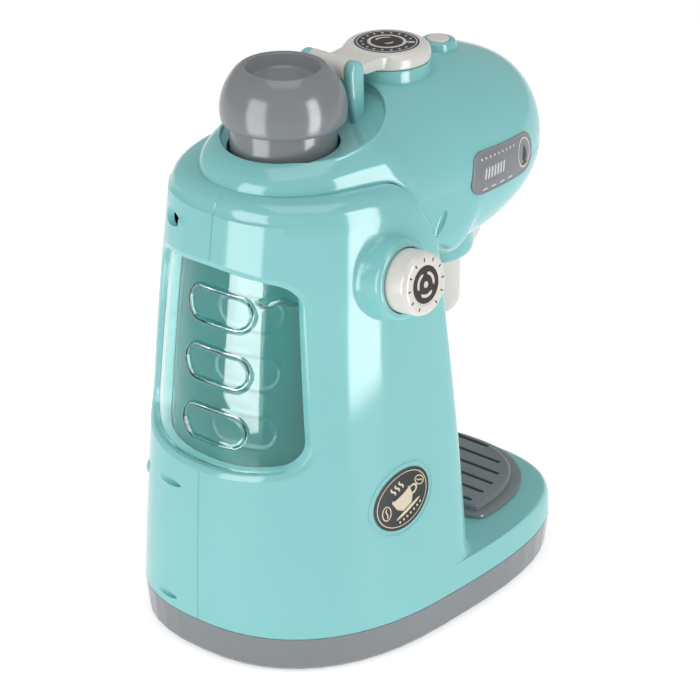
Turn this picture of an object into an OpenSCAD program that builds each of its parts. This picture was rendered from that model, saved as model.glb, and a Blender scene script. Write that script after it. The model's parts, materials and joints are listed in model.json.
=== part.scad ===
/* [Body] */
// Half width of the body at the seam above the base cover
body_half = 64.8; // [60:0.2:70]
// Reach of the body behind its widest line, at the seam
rear_reach = 82.3; // [76:0.1:90]
// Reach of the low base in front of the widest line
base_reach = 105.2; // [98:0.2:112]
// Reach of the tower in front of the widest line, at its foot
tower_reach = 30; // [26:0.5:34]
// Distance of the widest line behind the middle of the part
wide_y = 12.5; // [10:0.5:15]
// Height of the seam between the base cover and the body
seam_z = 15.8; // [13:0.2:18]
// Height of the low base's top
ledge_z = 27.5; // [25:0.5:30]
// Height of the tower's flat top
tower_top = 197; // [190:1:205]
// Inward draft of the tower's sides, in degrees
side_draft = 4; // [3:0.1:5]
// Wall thickness of the moulded shells
wall = 2.2; // [1.8:0.1:2.6]
// Radius of the base's top edge
edge_r = 3.5; // [2.5:0.5:4.5]
// Radius where the tower meets the low base
root_r = 7.5; // [6:0.5:10]
// Radius of the tower's shoulder
shoulder_r = 6; // [4:0.5:7]
// Width of the ledge inside the shoulder that carries the head
shelf_w = 5; // [4:0.5:7]

/* [Head] */
// Half width of the head
head_half = 50.3; // [48:0.1:52]
// Reach of the head in front of the middle
head_reach = 94.8; // [90:0.2:98]
// Distance of the head's full section in front of the middle
head_full_y = 25; // [20:1:30]
// Height of the seam between the head's shells
head_seam_z = 183.8; // [180:0.2:188]
// Rise of the head above its seam
head_rise = 39.4; // [36:0.2:42]
// Drop of the head below its seam
head_drop = 40; // [36:0.5:42]

/* [Pump] */
// Distance of the pump behind the middle
pump_y = 40; // [38:0.5:42]
// Radius of the pump's round cap
cap_r = 25.2; // [23:0.2:27]
// Height of the cap's top edge above the floor
cap_top = 239; // [236:0.5:242]
// Height of the cap's rim above the floor
cap_rim = 216.7; // [215:0.1:218]
// Radius of the plunger below the cap
plunger_r = 21.2; // [19:0.1:22]
// Gap round the plunger where it enters the head
mouth_gap = 1.3; // [0.8:0.1:1.6]
// Height of the scoop's floor round the plunger
scoop_floor = 207.9; // [205:0.1:209]
// Travel of the pump
pump_travel = 8; // [5:0.5:8]

/* [Lid lever] */
// Radius of the round lid
lid_r = 18; // [16:0.5:19]
// Distance of the lid in front of the middle
lid_y = 22.8; // [21:0.2:25]
// Height of the lid's underside
lid_z = 225.4; // [225:0.1:226.5]
// Thickness of the lid
lid_h = 7.4; // [6:0.2:8]
// Distance of the hinge behind the middle
hinge_y = 11.4; // [11:0.1:11.6]
// Height of the hinge
hinge_z = 231.2; // [230:0.1:232]
// Radius of the lever's barrel
barrel_r = 4.5; // [4:0.1:4.6]
// Width of the lever between the two ears
lever_w = 19; // [17:0.5:20]
// Radius of the hinge pin
pin_r = 1.5; // [1.2:0.1:2]
// Thickness of each ear
ear_w = 4.5; // [4:0.1:5]
// Radius of the well under the lid
well_r = 12.5; // [11:0.5:13]
// Depth of the well under the lid
well_depth = 22; // [16:1:24]

/* [Start knob] */
// Distance of the knob's axis behind the middle
knob_y = 36.9; // [35:0.5:38]
// Height of the knob's axis at the body's wall
knob_z = 163.2; // [160:0.2:166]
// Upward tilt of the knob's axis, in degrees
knob_tilt = 6; // [4:0.5:7]
// Radius of the raised ring round the knob
boss_r = 17; // [16:0.5:18]
// Height of the raised ring
boss_h = 8; // [6:0.5:9]
// Radius of the knob
knob_r = 13.5; // [12:0.5:14.5]
// Height of the knob
knob_h = 9.4; // [8:0.2:11]
// Radius of the knob's shaft
shaft_r = 4; // [3:0.1:5]

/* [Push button] */
// Distance of the button in front of the middle
button_y = 55.6; // [53:0.2:58]
// Radius of the button
button_r = 4.7; // [4:0.1:5.2]
// Outer radius of the ring round the button
bezel_r = 7.3; // [6.8:0.1:8]
// Travel of the button
button_travel = 1.5; // [1:0.1:2]

/* [Window] */
// Half width of the window at its foot
window_half = 43.6; // [40:0.2:46]
// Height of the window's lower edge
window_low = 85; // [80:1:90]
// Height of the window's upper edge
window_high = 168; // [160:1:172]
// Radius of the window's lower corners
window_corner = 15; // [10:1:18]

/* [Spout] */
// Distance of the spout in front of the middle
spout_y = 53; // [50:0.5:56]
// Radius of the spout
spout_r = 12.2; // [11:0.2:13]
// Height of the spout's lower end
spout_z = 103; // [100:1:108]
// Radius of the collar round the spout
collar_r = 17.6; // [16:0.2:19]
// Height of the collar's lower end
collar_z = 130; // [126:1:134]

/* [Drip tray] */
// Distance of the tray's widest line in front of the middle
tray_y = 33; // [30:0.5:36]
// Half width of the grate
grate_half = 44; // [40:0.5:46]
// Reach of the grate in front of its widest line
grate_reach = 50; // [46:0.5:52]
// Reach of the grate behind its widest line
grate_back = 4.3; // [3.5:0.1:4.5]
// Width of the tray's rim round the grate
rim_w = 3.5; // [3:0.1:4]
// Thickness of the tray's rim above the base
rim_h = 2; // [1.5:0.1:2.5]
// Height of the grate's top above the rim
grate_rise = 2.6; // [2:0.1:3.2]
// Width of the slots
slot_w = 2; // [1.6:0.1:2.4]
// Distance from slot to slot
slot_pitch = 8.8; // [8:0.1:9.5]
// Number of slots
slot_count = 6; // [4:1:6]
// Depth of the tray below the base's top
tray_depth = 9; // [6:0.5:9]

/* [Fits] */
// Gap round a shaft that turns or slides
run_fit = 0.06; // [0.03:0.01:0.09]
// Gap between loose pieces
gap = 0.3; // [0.25:0.05:0.4]
// Height of the rubber pads under the base
pad_h = 1; // [0.8:0.1:1.5]

/* [Hidden] */

mint = "#8fd1ce";
gray = "#8b8f93";
cream = "#d8d3cd";
dark = "#33302f";
teal = "#2f6f6c";
metal = "#b9bcc0";

rear_pow = 2.4;           // squareness of the plan behind its widest line
front_pow = 3;            // squareness of the plan in front of it
rear_lean = 0.012;        // slope of the rear wall at the seam
rear_bow = 1350;          // radius of the rear wall's slow curve, seen from the side
tower_lean = 0.05;        // slope of the tower's front at its foot
tower_bow = 770;          // radius of the tower front's slow curve
saddle_y = 29;            // in front of this line the tower's top falls away under the head
saddle_k = 18;            // how slowly it falls
saddle_foot = 4;          // in front of this line it falls more slowly
saddle_end = 1.4;         // slope of that last stretch
settle_z = 120;           // below this height the fall isn't felt
stations = 24;            // steps round half of the body
head_steps = 16;          // steps round one head shell's section
seam = 0.3;               // gap between the head and the tower, in front
badge_t = 0.4;            // thickness of the stickers and plates

cover_draft = 1.3;        // how much smaller the cover is at its foot
post_r = 3.6;             // radius of the screw posts
screw_r = 1.5;            // radius of the screws' shanks
screw_head_r = 3;         // radius of the screws' heads
recess_r = 3.4;           // radius of the recesses over the screws
case_posts = [[77, 180], [76, 66], [66, 24.5]];   // Y and Z of the posts that join the two halves
case_seat = 12;           // where the case screws' heads sit, from the middle

door_w = 46;              // width of the battery door's opening
door_l = 62;              // length of it
door_t = 2;               // thickness of the door
door_y = 20;              // distance of its middle behind the middle of the part
box_wall = 2;             // thickness of the battery box's walls
box_h = 15;               // height of them
foot_x = 28;
foot_y = [-72, 70];
foot_r = 5;
speaker_r = 14;
speaker_at = [30, -38];

cylinder_floor = scoop_floor - 39.9;   // underside of the pump's cylinder
cylinder_wall = 2.6;
guide_r = plunger_r + run_fit;
skirt_low = scoop_floor - wall - 3.8;   // the head's skirt round the pump ends on the cylinder here
plunger_low = cylinder_floor + 2 + pump_travel + 0.6;
spring_r = 9;
dish_r = 17;              // radius of the dish in the cap's top
dish_deep = 2.6;          // depth of that dish
dome_rise = 5;            // height of the cap's widest circle above its rim
tube_r = 3;

window_slope = 0.08;      // how fast the window narrows upward
window_set = 2.7;         // how far the clear panel lies below the body's face
window_t = 1.4;           // thickness of the clear panel
tank_y = 30;              // where the cut for the window ends
sill_deep = 8;            // depth of the window's sill below the body's face
sill_wall = 1.6;          // thickness of the sill

neck_half = half_at(tower_top) - shoulder_r;
head_back = wide_y + rear_at(tower_top) - shoulder_r;
head_top_z = head_seam_z + head_rise - 2;
neck_rise = 24.3;         // height of the head's long rear slope
head_bevel = 1.7;         // shape of that slope
side_pow = 2.19;          // roundness of the head's section
nose_low = 1.54;          // shape of the head's underside, seen from the side
nose_top = 3;             // shape of its top
nose_plan = 2.24;         // shape of its plan
front_foot_y = 2;         // where the head's underside reaches the tower's front
lip_y = 28.1;             // centre of the scoop's upper edge
lip_r = 33;               // radius of the scoop's upper edge
lip_z = scoop_floor + 2.8;   // height of its centre
lip_tilt = 10.8;          // how much it climbs to the front, in degrees
recess_out = 0.3214;      // how far the screws' recesses break out of the head's sides
head_post_y = -3;
head_post = [head_width(head_post_y) - recess_r + recess_out, head_post_y];   // screws that join the head's shells
head_seat = head_seam_z - 8.8;        // height of their heads' seat
head_screw_l = 12;        // length of the screws

boss_top = lid_z - gap;   // the lid rests just above its seat
boss_low = lid_z - 25.4;
cup_r = well_r + 1.5;
button_face = head_top(-button_y);        // height of the head's skin under the button
bezel_low = button_face - 5.3;
bezel_top = button_face + 3.8;
button_top = button_face + 4.5;
flange_t = 1.4;           // depth of the button's flange below its ring
spring_solid = 4.8;       // length of the button's spring when it is pressed home
board_t = 1.5;
board_z = bezel_low - flange_t - button_travel - spring_solid - board_t;
bush_r = 8;
knob_plate = 3;           // thickness of the knob ring's top
collar_floor = 3.4;
collar_round = 5;         // rounding of the collar's lower edge
collar_h = 38;
nozzle_flange = collar_r - 2 * wall - 0.1;
tap_nest = 4;             // how deep the tap nests into the collar's side
tap_r = 7.4;
tap_y = spout_y + collar_r + tap_r - tap_nest;
tap_low = collar_z - 3;

grate_pow_front = 2.3;
grate_pow_back = 3;
rim_top = ledge_z + rim_h;
tray_wall = 1.6;

// The knob stands out on one side only, so the body's plane of symmetry lies this far
// from the middle of the part's box.
knob_out = body_wall(knob_z, knob_y) + (boss_h + gap + knob_h + badge_t) * cos(knob_tilt);
knob_low = knob_out + 7.6 * sin(knob_tilt);
origin_shift = (knob_low - body_half) / 2;

function signed_pow(v, p) = sign(v) * pow(abs(v), p);
function smooth(t) = let (u = min(1, max(0, t))) u * u * (3 - 2 * u);
function fall(q, n) = pow(max(0, 1 - pow(min(1, max(0, q)), n)), 1 / n);

// The body's plan at a height: half width, reach behind and reach in front
function half_at(z) = body_half - tan(side_draft) * (z - seam_z);
function rear_at(z) = rear_reach - rear_lean * (z - seam_z) - pow(z - seam_z, 2) / (2 * rear_bow);
function front_at(z) = tower_reach - tower_lean * (z - ledge_z) - pow(z - ledge_z, 2) / (2 * tower_bow);
function oval(half, rear, front, t, n_rear = rear_pow, n_front = front_pow, y0 = wide_y) =
    let (n = sin(t) >= 0 ? n_rear : n_front, reach = sin(t) >= 0 ? rear : front)
    [half * signed_pow(cos(t), 2 / n), y0 + reach * signed_pow(sin(t), 2 / n)];
function body_wall(z, y) = y > wide_y
    ? half_at(z) * fall((y - wide_y) / rear_at(z), rear_pow)
    : half_at(z) * fall((wide_y - y) / front_at(z), front_pow);

// A post ends inside the wall, which curves over its width
function post_reach(p) = body_wall(p[1] + post_r, p[0] + post_r) - 0.3;

// The tower's top edge falls away in front, where the head wraps over it
function saddle(y) = y >= saddle_foot ? tower_top - pow(max(0, saddle_y - y), 2) / saddle_k
    : tower_top - pow(saddle_y - saddle_foot, 2) / saddle_k - saddle_end * (saddle_foot - y);
function wall_y(z, t) = oval(half_at(z), rear_at(z), front_at(z), t)[1];
function top_of(t, z = 185, n = 14) = n == 0 ? z : top_of(t, saddle(wall_y(z, t)), n - 1);
// The shoulder shrinks to nothing at the front corners
function shoulder_at(t) = let (y = wall_y(top_of(t), t)) max(0.05, smooth((y + 2) / (wide_y + 2)));

// One point of a station's profile: a height, an inset, and the front reach if it isn't the tower's
function ring(z, inset, t, front) =
    let (p = oval(half_at(z) - inset, rear_at(z) - inset, is_undef(front) ? front_at(z) - inset : front - inset, t))
    [p[0], p[1], z];
function outer_profile(t, g) = let (top = top_of(t), k = shoulder_at(t), r = shoulder_r * k) concat(
    [ring(seam_z, -g, t, base_reach), ring(ledge_z - edge_r, -g, t, base_reach)],
    [for (a = [35, 65, 90]) ring(ledge_z - edge_r * (1 - sin(a)) + g * sin(a), -g * cos(a), t,
        base_reach - edge_r * (1 - cos(a)))],
    [ring(ledge_z + g, 0, t, (base_reach + tower_reach) / 2)],
    [for (a = [0, 30, 60, 90]) let (z = ledge_z + root_r * (1 - cos(a)))
        ring(z, -g * sin(a), t, front_at(z) + root_r * (1 - sin(a)))],
    [for (z = [48, 66, 84, 102, settle_z]) ring(z, -g, t)],
    [for (f = [0.25, 0.5, 0.75]) ring(settle_z + f * (top - r - settle_z), -g, t)],
    [for (a = [0, 30, 60, 90]) ring(top - r * (1 - sin(a)) + g * sin(a), r * (1 - cos(a)) - g * cos(a), t)],
    [ring(top + g, r + shelf_w, t)]);
function inner_profile(t) = let (top = top_of(t), r = shoulder_r * shoulder_at(t)) concat(
    [ring(top - wall, r + shelf_w, t), ring(top - wall, r + wall, t), ring(top - r - wall, wall, t)],
    [for (z = [settle_z, 84, 48]) ring(z, wall, t)],
    [ring(ledge_z - wall, wall, t), ring(ledge_z - wall, wall, t, base_reach - edge_r),
     ring(ledge_z - edge_r - wall, wall, t, base_reach), ring(seam_z, wall, t, base_reach)]);

// A solid through a row of closed loops, capped at both ends
module loft(loops) {
    n = len(loops[0]);
    m = len(loops);
    polyhedron(
        points = [for (loop = loops, p = loop) p],
        faces = concat(
            [[for (i = [n - 1 : -1 : 0]) i]],
            [[for (i = [0 : n - 1]) (m - 1) * n + i]],
            [for (j = [0 : m - 2], i = [0 : n - 1], k = [0, 1])
                let (a = j * n + i, b = j * n + (i + 1) % n, c = a + n, d = b + n)
                k == 0 ? [a, b, c] : [b, d, c]]),
        convexity = 10);
}

// Keeps a moulded shell and its cuts as one mesh
module moulded(colour) {
    color(colour) in_frame() resize([0, 0, 0]) children();
}

module in_frame() {
    translate([origin_shift, 0, 0]) children();
}

// The half of the body on the knob's side, grown outward by g
module half_shell(g = 0) {
    loft([for (i = [0 : stations]) let (t = 90 + 180 * i / stations)
        concat(outer_profile(t, g), inner_profile(t))]);
}

module plan_plate(half, rear, front, n = 2 * stations) {
    polygon([for (i = [0 : n - 1]) oval(half, rear, front, 360 * i / n)]);
}

module window_outline(grow = 0) {
    low = window_half;
    high = window_half - window_slope * (window_high - window_low);
    offset(r = window_corner * 0.7 + grow, $fn = 48) offset(delta = -window_corner * 0.7)
        polygon(concat(
            [for (i = [-6 : 6]) [low * i / 6, window_low + 5 * pow(i / 6, 2)]],
            [for (i = [6 : -1 : -6]) [high * i / 6, window_high - 4 * pow(i / 6, 2)]]));
}

// The window's opening, cut straight through the rear wall
module window_cut(grow = 0) {
    back = wide_y + rear_reach + 5;
    translate([0, back, 0]) rotate([90, 0, 0]) linear_extrude(height = back - tank_y) window_outline(grow);
}

// The window's sill runs in from the wall and carries the tank's wall
module half_sill() {
    intersection() {
        loft([for (i = [0 : 12]) shell_strip(90 + 68 * i / 12, wall / 2, sill_deep)]);
        difference() {
            window_cut(sill_wall);
            window_cut();
        }
    }
}

module knob_place(out = 0) {
    translate([-body_wall(knob_z, knob_y) - out * cos(knob_tilt), knob_y, knob_z + out * sin(knob_tilt)])
        rotate([0, -90 + knob_tilt, 0]) children();
}

module tray_outline(grow = 0, n = 56) {
    polygon([for (i = [0 : n - 1]) oval(grate_half + grow, grate_back + grow, grate_reach + grow,
        360 * i / n, grate_pow_back, grate_pow_front, -tray_y)]);
}

module tray_cut() {
    translate([0, 0, ledge_z - 6]) linear_extrude(height = 12) tray_outline(gap - wall);
}

// A round rod along X at a post's Y and Z
module rod(r, from, to, at, n = 24) {
    translate([from, at[0], at[1]]) rotate([0, 90, 0]) cylinder(h = to - from, r = r, $fn = n);
}

module body_right() moulded(mint) {
    difference() {
        union() {
            half_shell();
            knob_place() translate([0, 0, -wall - 3]) {
                cylinder(h = boss_h + wall + 3, r = boss_r, $fn = 56);
                cylinder(h = wall + 6, r1 = boss_r + 4, r2 = boss_r, $fn = 56);
            }
            half_sill();
            for (p = case_posts) rod(post_r, -post_reach(p), 0, p);
        }
        window_cut();
        tray_cut();
        knob_place() {
            translate([0, 0, -1]) cylinder(h = 20, r = bush_r + 0.05, $fn = 64);
            translate([0, 0, -20]) cylinder(h = 20 + boss_h - knob_plate, r = boss_r - 3, $fn = 48);
        }
        for (p = case_posts) rod(screw_r + 0.02, -case_seat - 2, 1, p);
    }
}

module body_left() moulded(mint) {
    difference() {
        union() {
            mirror([1, 0, 0]) {
                half_shell();
                half_sill();
            }
            for (p = case_posts) rod(post_r, 0, post_reach(p), p);
        }
        window_cut();
        tray_cut();
        for (p = case_posts) {
            rod(screw_r + 0.2, -1, 80, p);
            rod(recess_r, case_seat, 80, p, 32);
        }
    }
}

module screw(length) {
    cylinder(h = length, r = screw_r, $fn = 24);
    translate([0, 0, length]) difference() {
        cylinder(h = 1.8, r1 = screw_head_r, r2 = screw_head_r * 0.8, $fn = 32);
        for (a = [0, 90]) rotate(a) translate([-2, -0.4, 0.8]) cube([4, 0.8, 2]);
    }
}

module case_screw(p) {
    color(metal) in_frame() translate([-case_seat, p[0], p[1]]) rotate([0, 90, 0]) screw(2 * case_seat);
}
module case_screw_top() case_screw(case_posts[0]);
module case_screw_middle() case_screw(case_posts[1]);
module case_screw_low() case_screw(case_posts[2]);

// The cover that closes the body from below, with the battery box standing on its floor
module base_cover() color(gray) in_frame() {
    box_x = door_w / 2 + box_wall;
    difference() {
        loft([for (l = [[pad_h, cover_draft + 1.2], [pad_h + 1.5, cover_draft], [seam_z, 0]])
            [for (i = [0 : 2 * stations - 1])
                let (p = oval(body_half - l[1], rear_reach - l[1], base_reach - l[1], -180 * i / stations))
                [p[0], p[1], l[0]]]]);
        translate([0, 0, pad_h + wall]) linear_extrude(height = 30) plan_plate(
            body_half - cover_draft - wall, rear_reach - cover_draft - wall, base_reach - cover_draft - wall);
        translate([-door_w / 2, door_y - door_l / 2, 0]) cube([door_w, door_l, 10]);
        for (a = [0 : 60 : 300]) translate([speaker_at[0], speaker_at[1], 0]) rotate(a) translate([7, 0, 0])
            cylinder(h = 10, r = 1.5, $fn = 24);
    }
    translate([0, door_y, pad_h + wall]) difference() {
        translate([-box_x, -door_l / 2 - box_wall, 0]) cube([2 * box_x, door_l + 2 * box_wall, box_h]);
        translate([-door_w / 2, -door_l / 2, -1]) cube([door_w, door_l, box_h + 2]);
    }
    translate([0, door_y + door_l / 2, pad_h + door_t]) difference() {
        translate([-5, -8, 0]) cube([10, 9, 8]);
        translate([0, -4, -1]) cylinder(h = 20, r = screw_r, $fn = 24);
    }
    for (x = [-1, 1]) translate([x * 15 - 4, door_y - door_l / 2 - 1, pad_h + door_t]) cube([8, 4, 3]);
}

module battery_door() color(gray) in_frame() {
    difference() {
        translate([-door_w / 2 + gap, door_y - door_l / 2 + gap, pad_h])
            cube([door_w - 2 * gap, door_l - 2 * gap, door_t]);
        translate([0, door_y + door_l / 2 - 4, 0]) cylinder(h = 10, r = screw_r + 0.2, $fn = 24);
        translate([0, door_y + door_l / 2 - 4, 0]) cylinder(h = pad_h + 1.2, r = screw_head_r + 0.2, $fn = 32);
    }
}

module door_screw() color(metal) in_frame() {
    translate([0, door_y + door_l / 2 - 4, pad_h + 0.2]) {
        cylinder(h = 1, r = screw_head_r, $fn = 32);
        cylinder(h = 8, r = screw_r, $fn = 24);
    }
}

module contact(x) {
    color(metal) in_frame() translate([x - 5, door_y - door_l / 2, pad_h + door_t + 3.2]) cube([10, 0.5, 9]);
}
module contact_plus() contact(-15);
module contact_minus() contact(15);

module foot(x, y) {
    color(dark) in_frame() translate([x, y, 0]) cylinder(h = pad_h, r = foot_r, $fn = 48);
}
module foot_front_left() foot(foot_x, foot_y[0]);
module foot_front_right() foot(-foot_x, foot_y[0]);
module foot_rear_left() foot(foot_x, foot_y[1]);
module foot_rear_right() foot(-foot_x, foot_y[1]);

module sound_board() color(teal) in_frame() {
    translate([-44, -58, pad_h + wall]) cube([32, 24, 1.6]);
    translate([-36, -52, pad_h + wall + 1.5]) cube([8, 8, 1.6]);
}

module loudspeaker() color(dark) in_frame() translate([speaker_at[0], speaker_at[1], pad_h + wall]) {
    cylinder(h = 2, r = speaker_r, $fn = 64);
    translate([0, 0, 1.9]) cylinder(h = 4, r = speaker_r * 0.55, $fn = 48);
}

// Sections of the head, square to its length
function head_q(y) = (-head_full_y - y) / (head_reach - head_full_y);
function head_width(y) = y < -head_full_y ? head_half * fall(head_q(y), nose_plan)
    : y < wide_y ? head_half + (neck_half - head_half) * smooth((y + head_full_y) / (wide_y + head_full_y))
    : neck_half * fall((y - wide_y) / (head_back - wide_y), rear_pow);
function head_top(y) = y < -head_full_y ? head_seam_z + (head_top_z - head_seam_z) * fall(head_q(y), nose_top)
    : tower_top + neck_rise * fall((y + head_full_y) / (head_back + head_full_y), head_bevel);
function head_mid(y) = max(head_seam_z, saddle(y) + seam * min(1, max(0, (saddle_y - y) / 3)));
function head_near(y) = smooth((y + head_full_y) / (front_foot_y + head_full_y));
function head_low(y) = y < -head_full_y ? head_seam_z - head_drop * fall(head_q(y), nose_low)
    : y < front_foot_y ? let (a = head_seam_z - head_drop, b = saddle(front_foot_y) + seam)
        a + (b - a) * head_near(y)
    : saddle(y) + seam;

// One section of a head shell: an arc from side to side, closed by a flat at the seam.
// k pulls the section inward by that share of a wall.
function head_loop(y, up, k = 0) = let (
        back = head_back - wide_y,
        s = y < -head_full_y ? 1 - k / (head_reach - head_full_y) : y > wide_y ? 1 - k / back : 1,
        o = y < -head_full_y ? -head_full_y : y > wide_y ? wide_y : 0,
        nose_k = y < -head_full_y ? 1 : 0,
        w = head_width(y) * (1 - k / head_half),
        m = up > 0 ? head_mid(y) : head_seam_z,
        e = up > 0 ? head_top(y) : head_low(y),
        full = up > 0 ? head_top_z - head_seam_z : head_drop,
        rise = abs(e - m),
        h = max(0.02, nose_k == 1 ? rise * (1 - k / full) : rise - k),
        n = up > 0 ? side_pow : side_pow + (8 - side_pow) * head_near(y),
        m2 = k > 0 ? m - up * 0.8 : m)
    concat(
        [for (i = [0 : head_steps]) let (t = 180 * i / head_steps)
            [w * signed_pow(cos(t), 2 / n), o + (y - o) * s, m + up * (h * pow(abs(sin(t)), 2 / n))]],
        k > 0 ? [[-w, o + (y - o) * s, m2], [w, o + (y - o) * s, m2]] : []);

nose = [for (q = [0.001, 0.02, 0.07, 0.15, 0.26, 0.4, 0.58, 0.8])
    -head_reach + q * (head_reach - head_full_y)];
upper_ys = concat(nose, [-25, -15, -5, 4, 8, 11, 14, 17, 20, 23, 26, 29, 35, 42, 49, 56, 62, 67, 71],
    [head_back - 1, head_back - 0.1]);
lower_ys = concat(nose, [-25, -19, -13, -7, -2, 2, 5, 8, 11.5]);

module head_solid(up, k = 0) {
    loft([for (y = up > 0 ? upper_ys : lower_ys) let (l = head_loop(y, up, k))
        up > 0 ? l : [for (i = [len(l) - 1 : -1 : 0]) l[i]]]);
}

// The bowl cut round the pump's cap
module scoop(g = 0) {
    low_r = plunger_r + mouth_gap + 2.2 + g;
    hull() {
        translate([0, pump_y, scoop_floor - g]) cylinder(h = 0.01, r = low_r, $fn = 36);
        translate([0, lip_y, lip_z - g]) rotate([-lip_tilt, 0, 0]) cylinder(h = 0.01, r = lip_r + g, $fn = 48);
        translate([0, lip_y, lip_z + 30]) rotate([-lip_tilt, 0, 0]) cylinder(h = 0.01, r = lip_r + 14 + g, $fn = 48);
    }
}

// One ear of the lid's hinge, a fin that narrows into the scoop
ear_x = lever_w / 2 + gap + ear_w / 2;
module ear(x) {
    hull() {
        translate([x - ear_w / 2, hinge_y, hinge_z]) rotate([0, 90, 0])
            cylinder(h = ear_w, r = barrel_r - 0.2, $fn = 32);
        translate([x - ear_w / 2, hinge_y - 3, scoop_floor - 1.4]) cube([ear_w, 5, 1]);
    }
}

module head_upper() moulded(mint) {
    difference() {
        union() {
            difference() {
                head_solid(1);
                difference() {
                    head_solid(1, wall);
                    scoop(wall);
                    translate([0, pump_y, skirt_low]) cylinder(h = 8, r = guide_r + cylinder_wall, $fn = 48);
                    translate([0, -lid_y, boss_low]) cylinder(h = 40, r = lid_r, $fn = 48);
                    for (x = [-1, 1]) {
                        translate([x * head_post[0], head_post[1], 170]) cylinder(h = 24, r = post_r, $fn = 24);
                        translate([x * 9.5, -button_y - 6, board_z + board_t]) cylinder(h = 20, r = 2, $fn = 24);
                    }
                }
                scoop();
            }
            translate([0, -lid_y, boss_top - 8]) cylinder(h = 8, r = lid_r, $fn = 48);
            ear(ear_x);
            ear(-ear_x);
        }
        translate([0, pump_y, skirt_low - 12]) cylinder(h = 40, r = plunger_r + mouth_gap, $fn = 48);
        translate([0, -lid_y, boss_low - 10]) cylinder(h = 60, r = cup_r + 0.1, $fn = 48);
        translate([0, -lid_y, boss_top - 1.3]) cylinder(h = 10, r = cup_r + 1.6, $fn = 48);
        translate([0, -button_y, bezel_low - 6]) cylinder(h = 40, r = bezel_r + 0.05, $fn = 48);
        translate([-20, hinge_y, hinge_z]) rotate([0, 90, 0]) cylinder(h = 40, r = pin_r + 0.02, $fn = 24);
        for (x = [-1, 1]) translate([x * head_post[0], head_post[1], head_seat])
            cylinder(h = head_screw_l + 1, r = screw_r + 0.02, $fn = 24);
    }
}

module head_lower() moulded(mint) {
    difference() {
        head_solid(-1);
        difference() {
            head_solid(-1, wall);
            for (x = [-1, 1]) translate([x * head_post[0], head_post[1], head_seat - 25])
                cylinder(h = 40, r = recess_r + 1.4, $fn = 24);
        }
        for (x = [-1, 1]) translate([x * head_post[0], head_post[1], head_seat - 35]) {
            cylinder(h = 35, r = recess_r, $fn = 32);
            cylinder(h = 60, r = screw_r + 0.2, $fn = 24);
        }
        translate([0, -spout_y, collar_z - 10]) cylinder(h = 50, r = collar_r + 0.05, $fn = 48);
        translate([0, -tap_y, collar_z - 10]) cylinder(h = 50, r = tap_r + 0.05, $fn = 32);
        translate([-80, -120, head_seam_z - seam]) cube([160, 200, 10]);
    }
}

module head_screw(x) {
    color(metal) in_frame() translate([x * head_post[0], head_post[1], head_seat + head_screw_l])
        rotate([180, 0, 0]) screw(head_screw_l);
}
module head_screw_left() head_screw(1);
module head_screw_right() head_screw(-1);

// The gray cap and its plunger, one moulding
module pump_cap() color(gray) in_frame() translate([0, pump_y, 0]) {
    dish = (dish_r * dish_r / dish_deep - dish_deep) / 2;
    rotate_extrude($fn = 120) difference() {
        union() {
            translate([0, cap_rim]) intersection() {
                square([cap_r, cap_top - cap_rim]);
                translate([0, dome_rise]) circle(r = cap_r, $fn = 96);
            }
            translate([0, plunger_low]) square([plunger_r, cap_rim + 2 - plunger_low]);
        }
        translate([0, cap_top + dish]) circle(r = sqrt(dish * dish + dish_r * dish_r), $fn = 96);
        translate([0, plunger_low - 1]) square([plunger_r - 2.5, cap_rim - plunger_low - 1]);
        translate([-60, 0]) square([60, 400]);
    }
}

module pump_cylinder() color(gray) in_frame() translate([0, pump_y, 0]) {
    difference() {
        translate([0, 0, cylinder_floor]) cylinder(h = skirt_low - cylinder_floor, r = guide_r + cylinder_wall, $fn = 96);
        translate([0, 0, cylinder_floor + 2]) cylinder(h = 60, r = guide_r, $fn = 96);
        translate([0, 0, cylinder_floor - 1]) cylinder(h = 10, r = tube_r, $fn = 32);
    }
}

// A coil spring standing on the floor z, w the wire's radius
module coil(z, h, r, w, turns, steps = 10) {
    loft([for (i = [0 : turns * steps]) let (a = 360 * i / steps, c = z + w + (h - 2 * w) * i / (turns * steps))
        [for (k = [0 : 5]) [(r - w + w * cos(60 * k)) * cos(a), (r - w + w * cos(60 * k)) * sin(a), c + w * sin(60 * k)]]]);
}

module pump_spring() color(metal) in_frame() translate([0, pump_y, 0]) {
    coil(cylinder_floor + 2, cap_rim - 2 - cylinder_floor - 2, spring_r, 0.7, 7);
}

module suction_tube() color(cream) in_frame() translate([0, pump_y, 0]) {
    difference() {
        translate([0, 0, 90]) cylinder(h = cylinder_floor + 2 - 90, r = tube_r, $fn = 32);
        translate([0, 0, 80]) cylinder(h = 100, r = tube_r - 1, $fn = 32);
    }
}

// Lid, arm and barrel, one moulding
module lid_lever() color(cream) in_frame() {
    round_r = 3.6;
    difference() {
        union() {
            translate([0, -lid_y, lid_z]) rotate_extrude($fn = 96) {
                square([lid_r - round_r, lid_h]);
                square([lid_r, lid_h - round_r]);
                translate([lid_r - round_r, lid_h - round_r]) circle(r = round_r, $fn = 48);
            }
            translate([-lever_w / 2, hinge_y, hinge_z]) rotate([0, 90, 0])
                cylinder(h = lever_w, r = barrel_r, $fn = 64);
            translate([-lever_w / 2, -lid_y + 12, lid_z + 1.8]) cube([lever_w, hinge_y + lid_y - 12, lid_h - 2.4]);
        }
        translate([-20, hinge_y, hinge_z]) rotate([0, 90, 0]) cylinder(h = 40, r = pin_r + run_fit, $fn = 32);
    }
}

module lid_pin() color(metal) in_frame() {
    translate([-ear_x - ear_w / 2 + 0.4, hinge_y, hinge_z]) rotate([0, 90, 0])
        cylinder(h = 2 * ear_x + ear_w - 0.8, r = pin_r, $fn = 32);
}

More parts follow.
